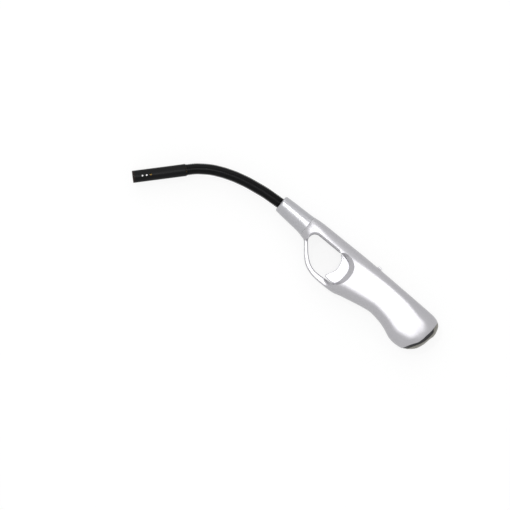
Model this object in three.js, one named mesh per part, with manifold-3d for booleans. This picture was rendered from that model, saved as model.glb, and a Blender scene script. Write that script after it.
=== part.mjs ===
// Flexible-neck gas lighter lying on its right side: two moulded handle shells with a trigger
// in a guard loop, a ribbed gooseneck of short links, and a drilled steel nozzle.
// Handle frame in millimetres: x runs from the nose to the butt, y towards the top edge,
// z towards the left side, with 0,0,0 at the middle of the nose face.
import * as THREE from 'three';
import { mergeVertices } from 'three/addons/utils/BufferGeometryUtils.js';
import Module from 'manifold-3d';

const wasm = await Module();
wasm.setup();

// Running and seating gaps, and a reach that passes the whole part
const GAP = 0.3;
const SEAM = 0.3;
const BEYOND = 200;

// Handle shells
const HANDLE_LENGTH = 151;
const HALF_THICKNESS = 11;
const WALL = 1.8;
const RING_POINTS = 24;
const STATION_ROOM = 0.4;
const REST_X = 88;
const REST_Y = -9;

// Nose ferrule
const FERRULE_LENGTH = 25.6;
const FERRULE_WALL = 1.6;
const FERRULE_STEP = 0.15;
const NOSE_ROUNDING = 1.5;
const NOSE_WALL = 2.5;
const TONGUE_LENGTH = 4.6;
const TONGUE_WALL = 1.3;
const TONGUE_ROOT = 2;

// Gooseneck
const NECK_RADIUS = 4.2;
const RIB_DEPTH = 0.45;
const RIB_PITCH = 1.5;
const RIB_COUNT = 52;
const NECK_BORE = 2.3;
const NECK_ROOT_Y = -0.8;
const NECK_HEADING = 3.1;
const BEND_STEP = 5.35;
const BEND_RIBS = [10, 20, 27, 33, 38, 41, 46, 48];
const SWAY_RIBS = [3, 7, 15, 24, 30, 36];
const LINK_GAP = 0.9;
const SPIGOT_RADIUS = 2.9;
const SPIGOT_REACH = 1.0;
const SOCKET_CLEARANCE = 0.25;
const SOCKET_DEPTH = 1.65;
const NECK_TAIL = 7;
const LINE_ROOM = 0.8;
const NECK_SIDES = 12;

// Nozzle and burner
const NOZZLE_LENGTH = 40.5;
const NOZZLE_RADIUS = 4.6;
const NOZZLE_WALL = 0.5;
const NOZZLE_LIP = 0.6;
const NOZZLE_ROUNDING = 0.3;
const AIR_HOLE_RADIUS = 0.7;
const AIR_HOLE_FROM_TIP = 7.5;
const AIR_HOLE_SPACING = 3.2;
const AIR_HOLES = 3;
const HOLDER_LENGTH = 8;
const BURNER_HEAD_RADIUS = 2.0;
const BURNER_STEM_RADIUS = 1.3;
const BURNER_HEAD_LENGTH = 8;
const BURNER_SETBACK = 13;
const BURNER_TAPER = 1;
const BURNER_RIM = 0.6;
const BURNER_CUP = 4;
const WIRE_RADIUS = 0.35;
const WIRE_FIT = 0.2;
const WIRE_PAST_BURNER = 3;
const WIRE_TIP_OFFSET = 1.2;
const INSULATOR_RADIUS = 1.0;
const INSULATOR_OFFSET = 2.65;

// Gas line and ignition lead
const GAS_LINE_RADIUS = 1.0;
const LEAD_RADIUS = 0.6;
const GAS_LINE_OFFSET = -0.95;
const LEAD_OFFSET = 1.25;
const LINE_STEPS = 60;

// Trigger
const TRIGGER_TRAVEL = 5;
const TRIGGER_HALF_WIDTH = 7.2;
const TRIGGER_EDGE = 0.5;
const TANG_START = 66;
const TANG_TOP = -7;
const TANG_BOTTOM = -16;
const TANG_HALF_WIDTH = 4;
const PUSH_ARM_INNER = 5.5;
const PUSH_ARM_THICKNESS = 1.7;
const PUSH_ARM_TOP = -15.4;
const PUSH_ARM_BOTTOM = -17.9;
const SCOOP_LIP = 0.9;

// Piezo unit
const PIEZO_X = 90;
const PIEZO_Y = -11.5;
const PIEZO_LENGTH = 22;
const PIEZO_SIZE = 10;
const PLUNGER_SIZE = 7;
const PLUNGER_REACH = TRIGGER_TRAVEL + 2;
const PLUNGER_BORE_DEPTH = 19;
const PIEZO_SPRING_TURNS = 7;
const PIEZO_SPRING_RADIUS = 2.9;
const PIEZO_SPRING_WIRE = 0.35;
const CONTACT_RADIUS = 1.1;
const CONTACT_HEIGHT = 1.3;
const CONTACT_SETBACK = 3;

// Gas valve and its lever
const VALVE_X = 103.9;
const VALVE_RADIUS = 2.4;
const VALVE_FLANGE = 3.4;
const VALVE_FLANGE_LENGTH = 3.5;
const VALVE_IN_TANK = 3.5;
const STEM_BORE_DEPTH = 8;
const STEM_INSERTION = 6;
const STEM_NOSE = 1.8;
const STEM_RADIUS = 0.9;
const COLLAR_RADIUS = 2.3;
const COLLAR_THICKNESS = 1.0;
const LEVER_X = 102;
const LEVER_Y = -4.1;
const LEVER_HUB = 1.7;
const LEVER_PIN = 0.8;
const LEVER_PIN_HALF_LENGTH = 8.6;
const LEVER_HUB_REACH = 3;
const PRONG_THICKNESS = 1.2;
const LEVER_HALF_THICKNESS = 0.7;
const LEVER_ARM_LENGTH = 14.1;
const FORK_TOP = 0.4;
const SPRING_STOP_X = 91.7;
const SPRING_STOP_THICKNESS = 1.2;
const SPRING_STOP_BOTTOM = -3.2;
const VALVE_SPRING_TURNS = 5;
const VALVE_SPRING_RADIUS = 2.0;
const VALVE_SPRING_WIRE = 0.28;

// Flame adjuster
const ADJUSTER_X = 106.5;
const ADJUSTER_WIDTH = 2.6;
const ADJUSTER_RADIUS = 3.6;
const ADJUSTER_REACH = 10.5;
const ADJUSTER_TAB = 2.2;
const ADJUSTER_SWING = 35;

// Fuel tank and filler
const TANK_X = 117.3;
const TANK_END_X = HANDLE_LENGTH - 7.9;
const TANK_WALL = 1.4;
const TANK_FIT = 0.4;
const FILLER_Y = -11;
const FILLER_RADIUS = 2.5;
const FILLER_FLANGE = 3.5;
const FILLER_FLANGE_X = HANDLE_LENGTH - 3.9;
const FILLER_FLANGE_THICKNESS = 1.1;
const FILLER_BODY_LENGTH = 9.6;
const FILLER_STEM = 0.8;
const FILLER_STEM_LENGTH = 10.6;
const FILLER_TIP_X = HANDLE_LENGTH - 0.9;
const FILLER_WELL = 4.1;
const PLUG_SETBACK = 0.9;

// Ribs and guides moulded inside the shells
const GUIDE_X = 76;
const GUIDE_LENGTH = 4.5;
const GUIDE_THICKNESS = 1.5;
const PIN_BOSS_RADIUS = 2.2;
const SADDLE_THICKNESS = 1.4;
const SADDLES = [3, 17];

// Screws
const SCREW_PLACES = [[FERRULE_LENGTH + 3.6, -7.0, 5.4], [86, -20.6, 5.4], [113.3, -20.2, 5.2]];
const SCREW_RADIUS = 1.0;
const SCREW_HEAD = 2.2;
const SCREW_HEAD_HEIGHT = 1.5;
const SCREW_GRIP = 4.5;
const BOSS_RADIUS = 2.4;
const WELL_BOSS_RADIUS = 3.2;

// Safety catch
const CATCH_X = 87.9;
const CATCH_LENGTH = 4.4;
const CATCH_HALF_WIDTH = 3;
const CATCH_PROUD = 1.2;
const CATCH_SLOPE = 0.9;
const CATCH_STEM_LENGTH = 3;
const CATCH_STEM_HALF_WIDTH = 1.2;
const CATCH_TRAVEL = 3;
const CATCH_FOOT_THICKNESS = 1.4;
const CATCH_FOOT_HALF_WIDTH = 2.4;

// Side-view curves of the handle: x, then height. The part round the trigger is measured from the
// nose and the rest of the grip from the butt, which is at 0 in those lists.
const fromButt = (points) => points.map(([x, value]) => [HANDLE_LENGTH + x, value]);
const TOP_EDGE = [[0, 6.2], [9, 6.5], [25, 6.75], [33, 7.35], [57, 7.25], [75, 7.1],
  ...fromButt([[-58.5, 6.6], [-40.5, 5.9], [-22.5, 5.2], [-10.5, 4.6], [-7.5, 4.1], [-4.5, 3.0],
    [-2, 0.9], [-0.8, -1.5], [0, -4.5]])];
const LOWER_EDGE = [[0, -7.4], [9, -8.3], [21, -9.4], [27, -10.5], [30, -11.6], [33, -15.1], [36, -18.8],
  [39, -22.2], [42, -24.8], [45, -26.5], [51, -28.4], [60, -29.1], [71, -28.9], [78, -27.1],
  ...fromButt([[-50.5, -22.9], [-42.5, -23.5], [-34.5, -25.4], [-25.5, -29.1], [-20.5, -29.9],
    [-13.5, -29.3], [-10.5, -27.8], [-7.5, -25.6], [-4.3, -22.2], [-2.1, -17.3], [-1.2, -13.7], [0, -9.4]])];
const HALF_WIDTH = [[0, 6.9], [25, 8.0], [34, 9.6], [42, 11.7], [60, 11.9],
  ...fromButt([[-13.5, 11.9], [-7.5, 11.2], [-4.5, 10], [-2, 7.8], [-0.8, 5.6], [0, 3.4]])];
const UPPER_SQUARENESS = [[0, 2.2], [25, 2.5], [36, 3.4], [60, 3.4], ...fromButt([[-11.5, 3.3], [0, 2.4]])];
const LOWER_SQUARENESS = [[0, 2.2], [25, 2.3], [36, 2.9], [58, 2.9], [66, 2.6],
  ...fromButt([[-11.5, 2.6], [0, 2.4]])];
const GUARD_FLAT = 5.2;
const GUARD_TOP = [[54, -8.5], [60, -23]];
const GUARD_FADE = 4;
const GUARD_END = [[63, 1], [74, 0]];

// Places of the cross-sections: close together where the outline turns, evenly spaced along the grip
const NOSE_STATIONS = [0, 0.5, 1.5, 5, 12, 20, 25, 27, 30, 33, 36, 39, 42, 45, 50, 56, 62, 68, 74, 80];
const BUTT_STATIONS = [-32.5, -28.5, -24.5, -20.5, -16.5, -13.5, -10.5, -7.5, -4.5, -2, -0.8, 0];
const GRIP_STEPS = 6;

function stations() {
  const front = NOSE_STATIONS[NOSE_STATIONS.length - 1];
  const back = HANDLE_LENGTH + BUTT_STATIONS[0];
  const step = (back - front) / GRIP_STEPS;
  const grip = Array.from({ length: GRIP_STEPS - 1 }, (_, i) => front + (i + 1) * step);
  return [...NOSE_STATIONS, ...grip, ...BUTT_STATIONS.map((x) => HANDLE_LENGTH + x)];
}

const group = new THREE.Group();
group.position.set(-REST_X, -REST_Y, HALF_THICKNESS);

// Small tools for closed meshes

function rad(degrees) {
  return THREE.MathUtils.degToRad(degrees);
}

function signedVolume(positions, index) {
  const a = new THREE.Vector3();
  const b = new THREE.Vector3();
  const c = new THREE.Vector3();
  let total = 0;
  for (let i = 0; i < index.length; i += 3) {
    a.fromArray(positions, index[i] * 3);
    b.fromArray(positions, index[i + 1] * 3);
    c.fromArray(positions, index[i + 2] * 3);
    total += a.dot(b.cross(c));
  }
  return total / 6;
}

// Shared vertices, no collapsed triangles, faces pointing out
function closed(geometry) {
  const bare = geometry.clone();
  bare.deleteAttribute('normal');
  bare.deleteAttribute('uv');
  const merged = mergeVertices(bare, 1e-4);
  const positions = merged.attributes.position.array;
  const index = [];
  for (let i = 0; i < merged.index.count; i += 3) {
    const [a, b, c] = [0, 1, 2].map((k) => merged.index.getX(i + k));
    if (a !== b && b !== c && a !== c) index.push(a, b, c);
  }
  if (signedVolume(positions, index) < 0) index.reverse();
  merged.setIndex(index);
  return merged;
}

function toSolid(geometry) {
  const clean = closed(geometry);
  return new wasm.Manifold(new wasm.Mesh({
    numProp: 3,
    vertProperties: Float32Array.from(clean.attributes.position.array),
    triVerts: Uint32Array.from(clean.index.array),
  }));
}

function toGeometry(solid) {
  const mesh = solid.getMesh();
  const geometry = new THREE.BufferGeometry();
  geometry.setAttribute('position', new THREE.BufferAttribute(mesh.vertProperties, 3));
  geometry.setIndex(new THREE.BufferAttribute(mesh.triVerts, 1));
  return geometry;
}

function cut(base, ...tools) {
  return tools.reduce((solid, tool) => solid.subtract(tool), base);
}

function join(base, ...others) {
  return others.reduce((solid, other) => solid.add(other), base);
}

// Basic solids placed in the handle frame

function block(x0, x1, y0, y1, z0, z1) {
  const box = new THREE.BoxGeometry(x1 - x0, y1 - y0, z1 - z0);
  box.translate((x0 + x1) / 2, (y0 + y1) / 2, (z0 + z1) / 2);
  return toSolid(box);
}

function rodAlongZ(x, y, z0, z1, radius, sides = 16) {
  const rod = new THREE.CylinderGeometry(radius, radius, z1 - z0, sides);
  rod.rotateX(Math.PI / 2);
  rod.translate(x, y, (z0 + z1) / 2);
  return toSolid(rod);
}

function rodAlongX(x0, x1, y, z, radius, sides = 16) {
  const rod = new THREE.CylinderGeometry(radius, radius, x1 - x0, sides);
  rod.rotateZ(Math.PI / 2);
  rod.translate((x0 + x1) / 2, y, z);
  return toSolid(rod);
}

// A flat outline through points in the side view, pushed out across the handle
function plate(points, z0, z1, bevel = 0) {
  const shape = new THREE.Shape(points.map(([x, y]) => new THREE.Vector2(x, y)));
  const options = { depth: z1 - z0 - 2 * bevel, bevelEnabled: bevel > 0, bevelThickness: bevel, steps: 1 };
  options.bevelSize = bevel;
  options.bevelOffset = -bevel;
  options.bevelSegments = 2;
  const slab = new THREE.ExtrudeGeometry(shape, options);
  slab.translate(0, 0, z0 + bevel);
  return toSolid(slab);
}

// Points on one smooth open curve through a few given ones
function smooth(points, steps) {
  const curve = new THREE.SplineCurve(points.map(([x, y]) => new THREE.Vector2(x, y)));
  return curve.getPoints(steps).map((p) => [p.x, p.y]);
}

// Turned piece about the y axis from [radius, height] corners, closed on itself
function turned(profile, sides = 16) {
  const points = [...profile, profile[0]].map(([r, h]) => new THREE.Vector2(Math.max(r, 0), h));
  return closed(new THREE.LatheGeometry(points, sides));
}

function turnedAlongX(profile, y, z, sides = 16) {
  const piece = turned(profile, sides);
  piece.rotateZ(-Math.PI / 2);
  piece.translate(0, y, z);
  return piece;
}

// Closed skin over rings of equal point counts, with flat ends
function skin(rings) {
  const count = rings[0].length;
  const positions = rings.flat(2);
  const index = [];
  for (let r = 0; r + 1 < rings.length; r += 1) {
    for (let j = 0; j < count; j += 1) {
      const a = r * count + j;
      const b = r * count + ((j + 1) % count);
      index.push(a, b, b + count, a, b + count, a + count);
    }
  }
  [0, rings.length - 1].forEach((r, end) => {
    const ring = rings[r];
    const middle = [0, 1, 2].map((k) => ring.reduce((sum, p) => sum + p[k], 0) / count);
    const centre = positions.length / 3;
    positions.push(...middle);
    for (let j = 0; j < count; j += 1) {
      const a = r * count + j;
      const b = r * count + ((j + 1) % count);
      if (end === 0) index.push(centre, b, a);
      else index.push(centre, a, b);
    }
  });
  const geometry = new THREE.BufferGeometry();
  geometry.setAttribute('position', new THREE.Float32BufferAttribute(positions, 3));
  geometry.setIndex(index);
  return closed(geometry);
}

// Wire spring along x, one unbroken five-sided tube
function spring(x0, x1, y, z, coilRadius, wireRadius, turns) {
  const stepsPerTurn = 8;
  const sides = 5;
  const length = x1 - x0 - 2 * wireRadius;
  const rings = [];
  for (let i = 0; i <= turns * stepsPerTurn; i += 1) {
    const angle = (i / stepsPerTurn) * 2 * Math.PI;
    const x = x0 + wireRadius + (length * i) / (turns * stepsPerTurn);
    const ring = [];
    for (let j = 0; j < sides; j += 1) {
      const around = (j / sides) * 2 * Math.PI;
      const radius = coilRadius + wireRadius * Math.cos(around);
      ring.push([x + wireRadius * Math.sin(around), y + radius * Math.cos(angle), z + radius * Math.sin(angle)]);
    }
    rings.push(ring);
  }
  return skin(rings);
}

// Round tube or wire along a smooth path
function cable(points, radius, steps, sides = 8) {
  const circle = new THREE.Shape();
  circle.absarc(0, 0, radius, 0, 2 * Math.PI);
  const section = new THREE.Shape(circle.getPoints(sides).slice(0, sides));
  const extrudePath = new THREE.CatmullRomCurve3(points.map((p) => new THREE.Vector3(...p)));
  return closed(new THREE.ExtrudeGeometry(section, { steps, extrudePath, bevelEnabled: false }));
}

function add(name, geometry, colour, roughness, metalness, parent = group) {
  const material = new THREE.MeshStandardMaterial({ color: colour, roughness, metalness });
  const mesh = new THREE.Mesh(closed(geometry), material);
  mesh.name = name;
  parent.add(mesh);
  return mesh;
}

// Handle form: value of a side-view curve at x, smooth between its points
function at(curve, x) {
  const last = curve.length - 1;
  if (x <= curve[0][0]) return curve[0][1];
  if (x >= curve[last][0]) return curve[last][1];
  const i = curve.findIndex((point) => point[0] >= x) - 1;
  const [x0, y0] = curve[i];
  const [x1, y1] = curve[i + 1];
  const slope = (k) => {
    const before = curve[Math.max(k - 1, 0)];
    const after = curve[Math.min(k + 1, last)];
    return (after[1] - before[1]) / (after[0] - before[0]);
  };
  const step = x1 - x0;
  const t = (x - x0) / step;
  const rise = (3 - 2 * t) * t * t;
  return y0 + (y1 - y0) * rise + step * t * (1 - t) * ((1 - t) * slope(i) - t * slope(i + 1));
}

// Height of the flat side: the guard is a narrower bar with a flat of its own
function sideFlat(x, y) {
  const below = Math.min(Math.max((at(GUARD_TOP, x) - y) / GUARD_FADE, 0), 1);
  const onGuard = at(GUARD_END, x) * below * below * (3 - 2 * below);
  return HALF_THICKNESS + (GUARD_FLAT - HALF_THICKNESS) * onGuard;
}

// One cross-section ring of the handle at x, drawn in by inset on every side
function section(x, inset) {
  const top = at(TOP_EDGE, x) - inset;
  const bottom = at(LOWER_EDGE, x) + inset;
  const halfWidth = at(HALF_WIDTH, x) - inset;
  const [upper, lower] = [UPPER_SQUARENESS, LOWER_SQUARENESS].map((curve) => 2 / at(curve, x));
  const ring = [];
  for (let j = 0; j < RING_POINTS; j += 1) {
    const angle = (j / RING_POINTS) * 2 * Math.PI;
    const power = Math.sin(angle) < 0 ? lower : upper;
    const up = Math.sign(Math.sin(angle)) * Math.abs(Math.sin(angle)) ** power;
    const out = Math.sign(Math.cos(angle)) * Math.abs(Math.cos(angle)) ** power;
    const y = (top + bottom) / 2 + (up * (top - bottom)) / 2;
    const flat = sideFlat(x, y) < HALF_THICKNESS ? sideFlat(x, y) - inset : BEYOND;
    ring.push([x, y, Math.sign(out) * Math.min(Math.abs(out) * halfWidth, flat)]);
  }
  return ring;
}

// Handle form between two places, with flat sides; inner forms need fewer stations
function handleForm(x0, x1, inset) {
  const kept = stations().filter((_, i) => inset <= WALL / 2 || i % 2 === 0);
  const between = kept.filter((x) => x > x0 + STATION_ROOM && x < x1 - STATION_ROOM);
  const places = [x0, ...between, x1];
  const form = toSolid(skin(places.map((x) => section(x, inset))));
  const flat = HALF_THICKNESS - inset;
  return form.intersect(block(-BEYOND, BEYOND, -BEYOND, BEYOND, -flat, flat));
}

// Side-view outlines of the openings in the shells
const WINDOW_FRONT = [[34.3, -11.9], [32.6, -9.8], [31.8, -8.1], [32.1, -5.6], [33.7, -3.1], [36.1, -1.9]];
const WINDOW_REAR = [[57, -2.3], [59.5, -1.6], [64.6, -2.7], [68, -4.8], [70, -8.1], [70.5, -12.5],
  [69.8, -18.9], [67.3, -23.4]];
const SCOOP_RIM = [[57.2, -2], [60, -0.3], [65, -0.2], [70.2, -2], [72.3, -5], [73.5, -10.9], [72.8, -17.3],
  [70.8, -22.1], [66.5, -25.6]];
const WINDOW_FLOOR = [[58.7, -24.5], [50.6, -24.4], [44.8, -22.2], [39.7, -18.1], [36.6, -14.7]];
const SOLID_ROUND_WINDOW = [[26, -40], [26, -8.4], [29.8, -7.6], [29.8, -6.5], [31.4, -2], [35, -0.1],
  [57, -0.3], [58.4, 1.2], [66, 1.2], [70, -0.4], [66, -6], [66, -24], [69, -26.4], [69, -40]];
const SCOOP_CORNER = [58, -22];
const SCOOP_PAST_SIDE = 0.2;
const SLIT_INNER = fromButt([[-4.3, 9], [-4, -2.4], [-4.1, -7], [-4.6, -12], [-6.1, -17.4],
  [-9.3, -24], [-13.8, -33]]);
const SLIT_OUTER = fromButt([[-3.9, 9], [-3.55, -2.2], [-2.6, -4.8], [-2.7, -10], [-4.2, -17],
  [-7.4, -24.2], [-12.2, -33]]);

function windowOutline() {
  return [...smooth(WINDOW_FRONT, 8), ...smooth(WINDOW_REAR, 14), ...smooth(WINDOW_FLOOR, 7)];
}

// Sloped scoop in each side round the back of the trigger, from the flat side down to its lip
function scoop(side) {
  const lip = TRIGGER_HALF_WIDTH + GAP + SCOOP_LIP;
  const outline = (edge, z) => [...smooth(edge, 16), SCOOP_CORNER].map(([x, y]) => [x, y, side * z]);
  return toSolid(skin([outline(WINDOW_REAR, lip), outline(SCOOP_RIM, HALF_THICKNESS + SCOOP_PAST_SIDE)]));
}

// Thicker wall behind the scoop, kept clear of the trigger
function scoopBacking(side) {
  const [xs, ys] = [0, 1].map((k) => SCOOP_RIM.map((point) => point[k]));
  const [z0, z1] = [side * (TRIGGER_HALF_WIDTH + GAP), side * HALF_THICKNESS].sort((a, b) => a - b);
  return block(Math.min(...xs) - WALL, Math.max(...xs) + 2 * WALL,
    Math.min(...ys) - WALL, Math.max(...ys) + 2 * WALL, z0, z1);
}

// Room inside the shells, under the lips of the scoop, for the trigger's head as it slides back
function triggerRoom() {
  const reach = TRIGGER_TRAVEL + GAP;
  const half = TRIGGER_HALF_WIDTH + GAP;
  const back = smooth(TRIGGER_BACK, 12);
  const middle = (back[0][1] + back[back.length - 1][1]) / 2;
  const swept = back.map(([x, y]) => [x + reach, y + Math.sign(y - middle) * GAP]);
  const [low, high] = [swept[0][1], swept[swept.length - 1][1]];
  return plate([[back[0][0], low], ...swept, [back[0][0], high]], -half, half);
}

// Everything behind an edge of the slit in the butt
function behind(edge) {
  const line = smooth(edge, 12);
  const [top, bottom] = [line[0][1], line[line.length - 1][1]];
  return plate([...line, [BEYOND, bottom], [BEYOND, top]], -BEYOND, BEYOND);
}

// Colours of the real finishes
const SILVER = 0xb9b6bb;
const BLACK_PLASTIC = 0x17171a;
const STEEL = 0x8f9296;
const BRASS = 0xb08d4a;

// Handle shells: one hollow moulding split along the middle plane

function boss(x, y, radius, z0, z1) {
  return rodAlongZ(x, y, z0, z1, radius, 14);
}

// Rib under the piezo unit, standing on the floor of the handle
function saddle(offset) {
  const x = PIEZO_X + offset;
  const under = PIEZO_Y - PIEZO_SIZE / 2 - GAP;
  const shoulder = under - SADDLE_THICKNESS;
  const low = block(x, x + SADDLE_THICKNESS, -BEYOND, shoulder, -BEYOND, BEYOND);
  const seat = block(x, x + SADDLE_THICKNESS, shoulder, under, -PIEZO_SIZE / 2, PIEZO_SIZE / 2);
  return join(low, seat);
}

// Guides above and below the trigger's tang, the left one under its push arm
function guides() {
  const rail = (top, z0, z1) => block(GUIDE_X, GUIDE_X + GUIDE_LENGTH, top - GUIDE_THICKNESS, top, z0, z1);
  return join(rail(TANG_TOP + GAP + GUIDE_THICKNESS, -BEYOND, BEYOND), rail(TANG_BOTTOM - GAP, -BEYOND, 0),
    rail(PUSH_ARM_BOTTOM - GAP, 0, BEYOND));
}

function innerParts() {
  const stopEnd = SPRING_STOP_X + SPRING_STOP_THICKNESS;
  const springStop = cut(
    block(SPRING_STOP_X, stopEnd, SPRING_STOP_BOTTOM, BEYOND, -BEYOND, BEYOND),
    rodAlongX(-BEYOND, BEYOND, 0, 0, GAS_LINE_RADIUS + GAP),
  );
  const pinBosses = join(
    boss(LEVER_X, LEVER_Y, PIN_BOSS_RADIUS, PUSH_ARM_INNER + PUSH_ARM_THICKNESS + GAP, BEYOND),
    boss(LEVER_X, LEVER_Y, PIN_BOSS_RADIUS, -BEYOND, -LEVER_HUB_REACH - GAP),
  );
  const screwBosses = SCREW_PLACES.map(([x, y]) => join(
    boss(x, y, BOSS_RADIUS, 0, BEYOND),
    boss(x, y, WELL_BOSS_RADIUS, -BEYOND, 0),
  ));
  return join(springStop, guides(), pinBosses, ...screwBosses, ...SADDLES.map(saddle),
    scoopBacking(1), scoopBacking(-1));
}

function screwHoles() {
  return SCREW_PLACES.flatMap(([x, y, seat]) => [
    rodAlongZ(x, y, -seat - SCREW_HEAD_HEIGHT - GAP, SCREW_GRIP + 2 * GAP, SCREW_RADIUS + GAP, 12),
    rodAlongZ(x, y, -BEYOND, -seat, SCREW_HEAD + GAP, 16),
  ]);
}

function catchSlot() {
  const front = CATCH_X - CATCH_STEM_LENGTH / 2 - CATCH_TRAVEL - GAP;
  const back = CATCH_X + CATCH_STEM_LENGTH / 2 + GAP;
  const half = CATCH_STEM_HALF_WIDTH + GAP;
  return block(front, back, at(TOP_EDGE, CATCH_X) - 2 * WALL, BEYOND, -half, half);
}

// Slot in the right side as long as the tab's swing
function adjusterSlot() {
  const room = 2 * GAP;
  const low = -ADJUSTER_REACH * Math.sin(rad(ADJUSTER_SWING)) - ADJUSTER_TAB / 2 - GAP;
  return block(ADJUSTER_X - room, ADJUSTER_X + ADJUSTER_WIDTH + room, low, ADJUSTER_TAB / 2 + room,
    -BEYOND, -ADJUSTER_REACH / 2);
}

// Tongue of the shells inside the ferrule
function tongue() {
  const fit = FERRULE_WALL + FERRULE_STEP + GAP;
  const front = handleForm(FERRULE_LENGTH - TONGUE_LENGTH, FERRULE_LENGTH + TONGUE_ROOT, fit);
  const root = handleForm(FERRULE_LENGTH, FERRULE_LENGTH + TONGUE_ROOT, WALL / 2);
  const bore = handleForm(FERRULE_LENGTH - 2 * TONGUE_LENGTH, FERRULE_LENGTH + 2 * TONGUE_ROOT,
    fit + TONGUE_WALL);
  return cut(join(front, root), bore);
}

function handleShells() {
  const outside = handleForm(FERRULE_LENGTH, HANDLE_LENGTH, 0);
  const aroundWindow = plate(SOLID_ROUND_WINDOW, -BEYOND, BEYOND);
  const cavity = cut(handleForm(FERRULE_LENGTH - WALL, HANDLE_LENGTH - WALL, WALL), aroundWindow);
  const skinCore = handleForm(FERRULE_LENGTH + GAP, HANDLE_LENGTH - 2 * WALL, WALL / 2);
  const filled = join(cut(outside, cavity), innerParts().intersect(skinCore), tongue());
  const pinReach = LEVER_PIN_HALF_LENGTH + GAP;
  const pinHole = rodAlongZ(LEVER_X, LEVER_Y, -pinReach, pinReach, LEVER_PIN + GAP, 12);
  const whole = cut(filled, plate(windowOutline(), -BEYOND, BEYOND), scoop(1), scoop(-1), triggerRoom(),
    behind(SLIT_INNER), catchSlot(), adjusterSlot(), pinHole, ...screwHoles());
  const left = whole.intersect(block(0, BEYOND, -BEYOND, BEYOND, SEAM / 2, BEYOND));
  const right = whole.intersect(block(0, BEYOND, -BEYOND, BEYOND, -BEYOND, -SEAM / 2));
  add('left_shell', toGeometry(left), SILVER, 0.35, 0.6);
  add('right_shell', toGeometry(right), SILVER, 0.35, 0.6);
}

function shellScrews() {
  const profile = [[0, -SCREW_HEAD_HEIGHT], [SCREW_HEAD, -SCREW_HEAD_HEIGHT], [SCREW_HEAD, 0],
    [SCREW_RADIUS, 0]];
  SCREW_PLACES.forEach(([x, y, seat], i) => {
    const headPlane = -seat - GAP;
    const tip = SCREW_GRIP - headPlane;
    const screw = turned([...profile, [SCREW_RADIUS, tip - 1], [0, tip]], 12);
    screw.rotateX(Math.PI / 2);
    const mesh = add(`shell_screw_${i + 1}`, screw, STEEL, 0.4, 0.9);
    mesh.position.set(x, y, headPlane);
  });
}

// Nose ferrule: the tapered collar in front of the shells

function noseFerrule() {
  const end = FERRULE_LENGTH - SEAM;
  const rounded = [0, 0.25, 1].map((share) => {
    const x = share * NOSE_ROUNDING;
    const fall = NOSE_ROUNDING - Math.sqrt(NOSE_ROUNDING ** 2 - (NOSE_ROUNDING - x) ** 2);
    return section(x, fall + FERRULE_STEP);
  });
  const back = [0.15, 0.45, 0.75, 1].map((share) =>
    section(NOSE_ROUNDING + share * (end - NOSE_ROUNDING), FERRULE_STEP));
  const outside = toSolid(skin([...rounded, ...back]));
  const inside = handleForm(NOSE_WALL, FERRULE_LENGTH + WALL, FERRULE_WALL + FERRULE_STEP);
  const bore = rodAlongX(-BEYOND, NOSE_WALL + GAP, NECK_ROOT_Y, 0, NECK_RADIUS + GAP, 24);
  add('nose_ferrule', toGeometry(cut(outside, inside, bore)), SILVER, 0.3, 0.7);
}

// End cap over the butt, the black plug seen in the slit beside it, and the filler valve

function buttPieces() {
  const well = rodAlongX(FILLER_FLANGE_X - GAP, BEYOND, FILLER_Y, 0, FILLER_WELL, 24);
  const pass = rodAlongX(TANK_X, BEYOND, FILLER_Y, 0, FILLER_RADIUS + GAP, 20);
  const cap = cut(handleForm(TANK_X, HANDLE_LENGTH, 0).intersect(behind(SLIT_OUTER)), well, pass);
  add('end_cap', toGeometry(cap), SILVER, 0.35, 0.6);
  const fill = handleForm(TANK_END_X + GAP, HANDLE_LENGTH - PLUG_SETBACK, WALL + GAP);
  const clear = behind(SLIT_OUTER.map(([x, y]) => [x - GAP, y]));
  add('end_plug', toGeometry(cut(fill, clear, well, pass)), BLACK_PLASTIC, 0.5, 0);
  const bore = FILLER_STEM + GAP;
  const bodyStart = FILLER_FLANGE_X - FILLER_BODY_LENGTH;
  const flangeEnd = FILLER_FLANGE_X + FILLER_FLANGE_THICKNESS;
  const bodyProfile = [[bore, bodyStart], [FILLER_RADIUS, bodyStart], [FILLER_RADIUS, FILLER_FLANGE_X],
    [FILLER_FLANGE, FILLER_FLANGE_X], [FILLER_FLANGE, flangeEnd], [bore, flangeEnd]];
  add('filler_body', turnedAlongX(bodyProfile, FILLER_Y, 0, 20), BRASS, 0.3, 1);
  const stemStart = FILLER_TIP_X - FILLER_STEM_LENGTH;
  const stemProfile = [[0, stemStart], [FILLER_STEM, stemStart], [FILLER_STEM, FILLER_TIP_X], [0, FILLER_TIP_X]];
  add('filler_stem', turnedAlongX(stemProfile, FILLER_Y, 0, 12), BRASS, 0.3, 1);
}

// Fuel tank with a bore for the valve in front and for the filler behind

function fuelTank() {
  const outside = handleForm(TANK_X, TANK_END_X, WALL + TANK_FIT);
  const inside = handleForm(TANK_X + TANK_WALL, TANK_END_X - TANK_WALL, WALL + TANK_FIT + TANK_WALL);
  const middle = (TANK_X + TANK_END_X) / 2;
  const valveBore = rodAlongX(0, middle, 0, 0, VALVE_RADIUS + GAP, 20);
  const fillerBore = rodAlongX(middle, BEYOND, FILLER_Y, 0, FILLER_RADIUS + GAP, 20);
  add('fuel_tank', toGeometry(cut(outside, inside, valveBore, fillerBore)), 0x6b6f70, 0.2, 0);
}

// Gas valve: body in the tank, stem pulled forward by the forked lever, closing spring, adjuster

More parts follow.
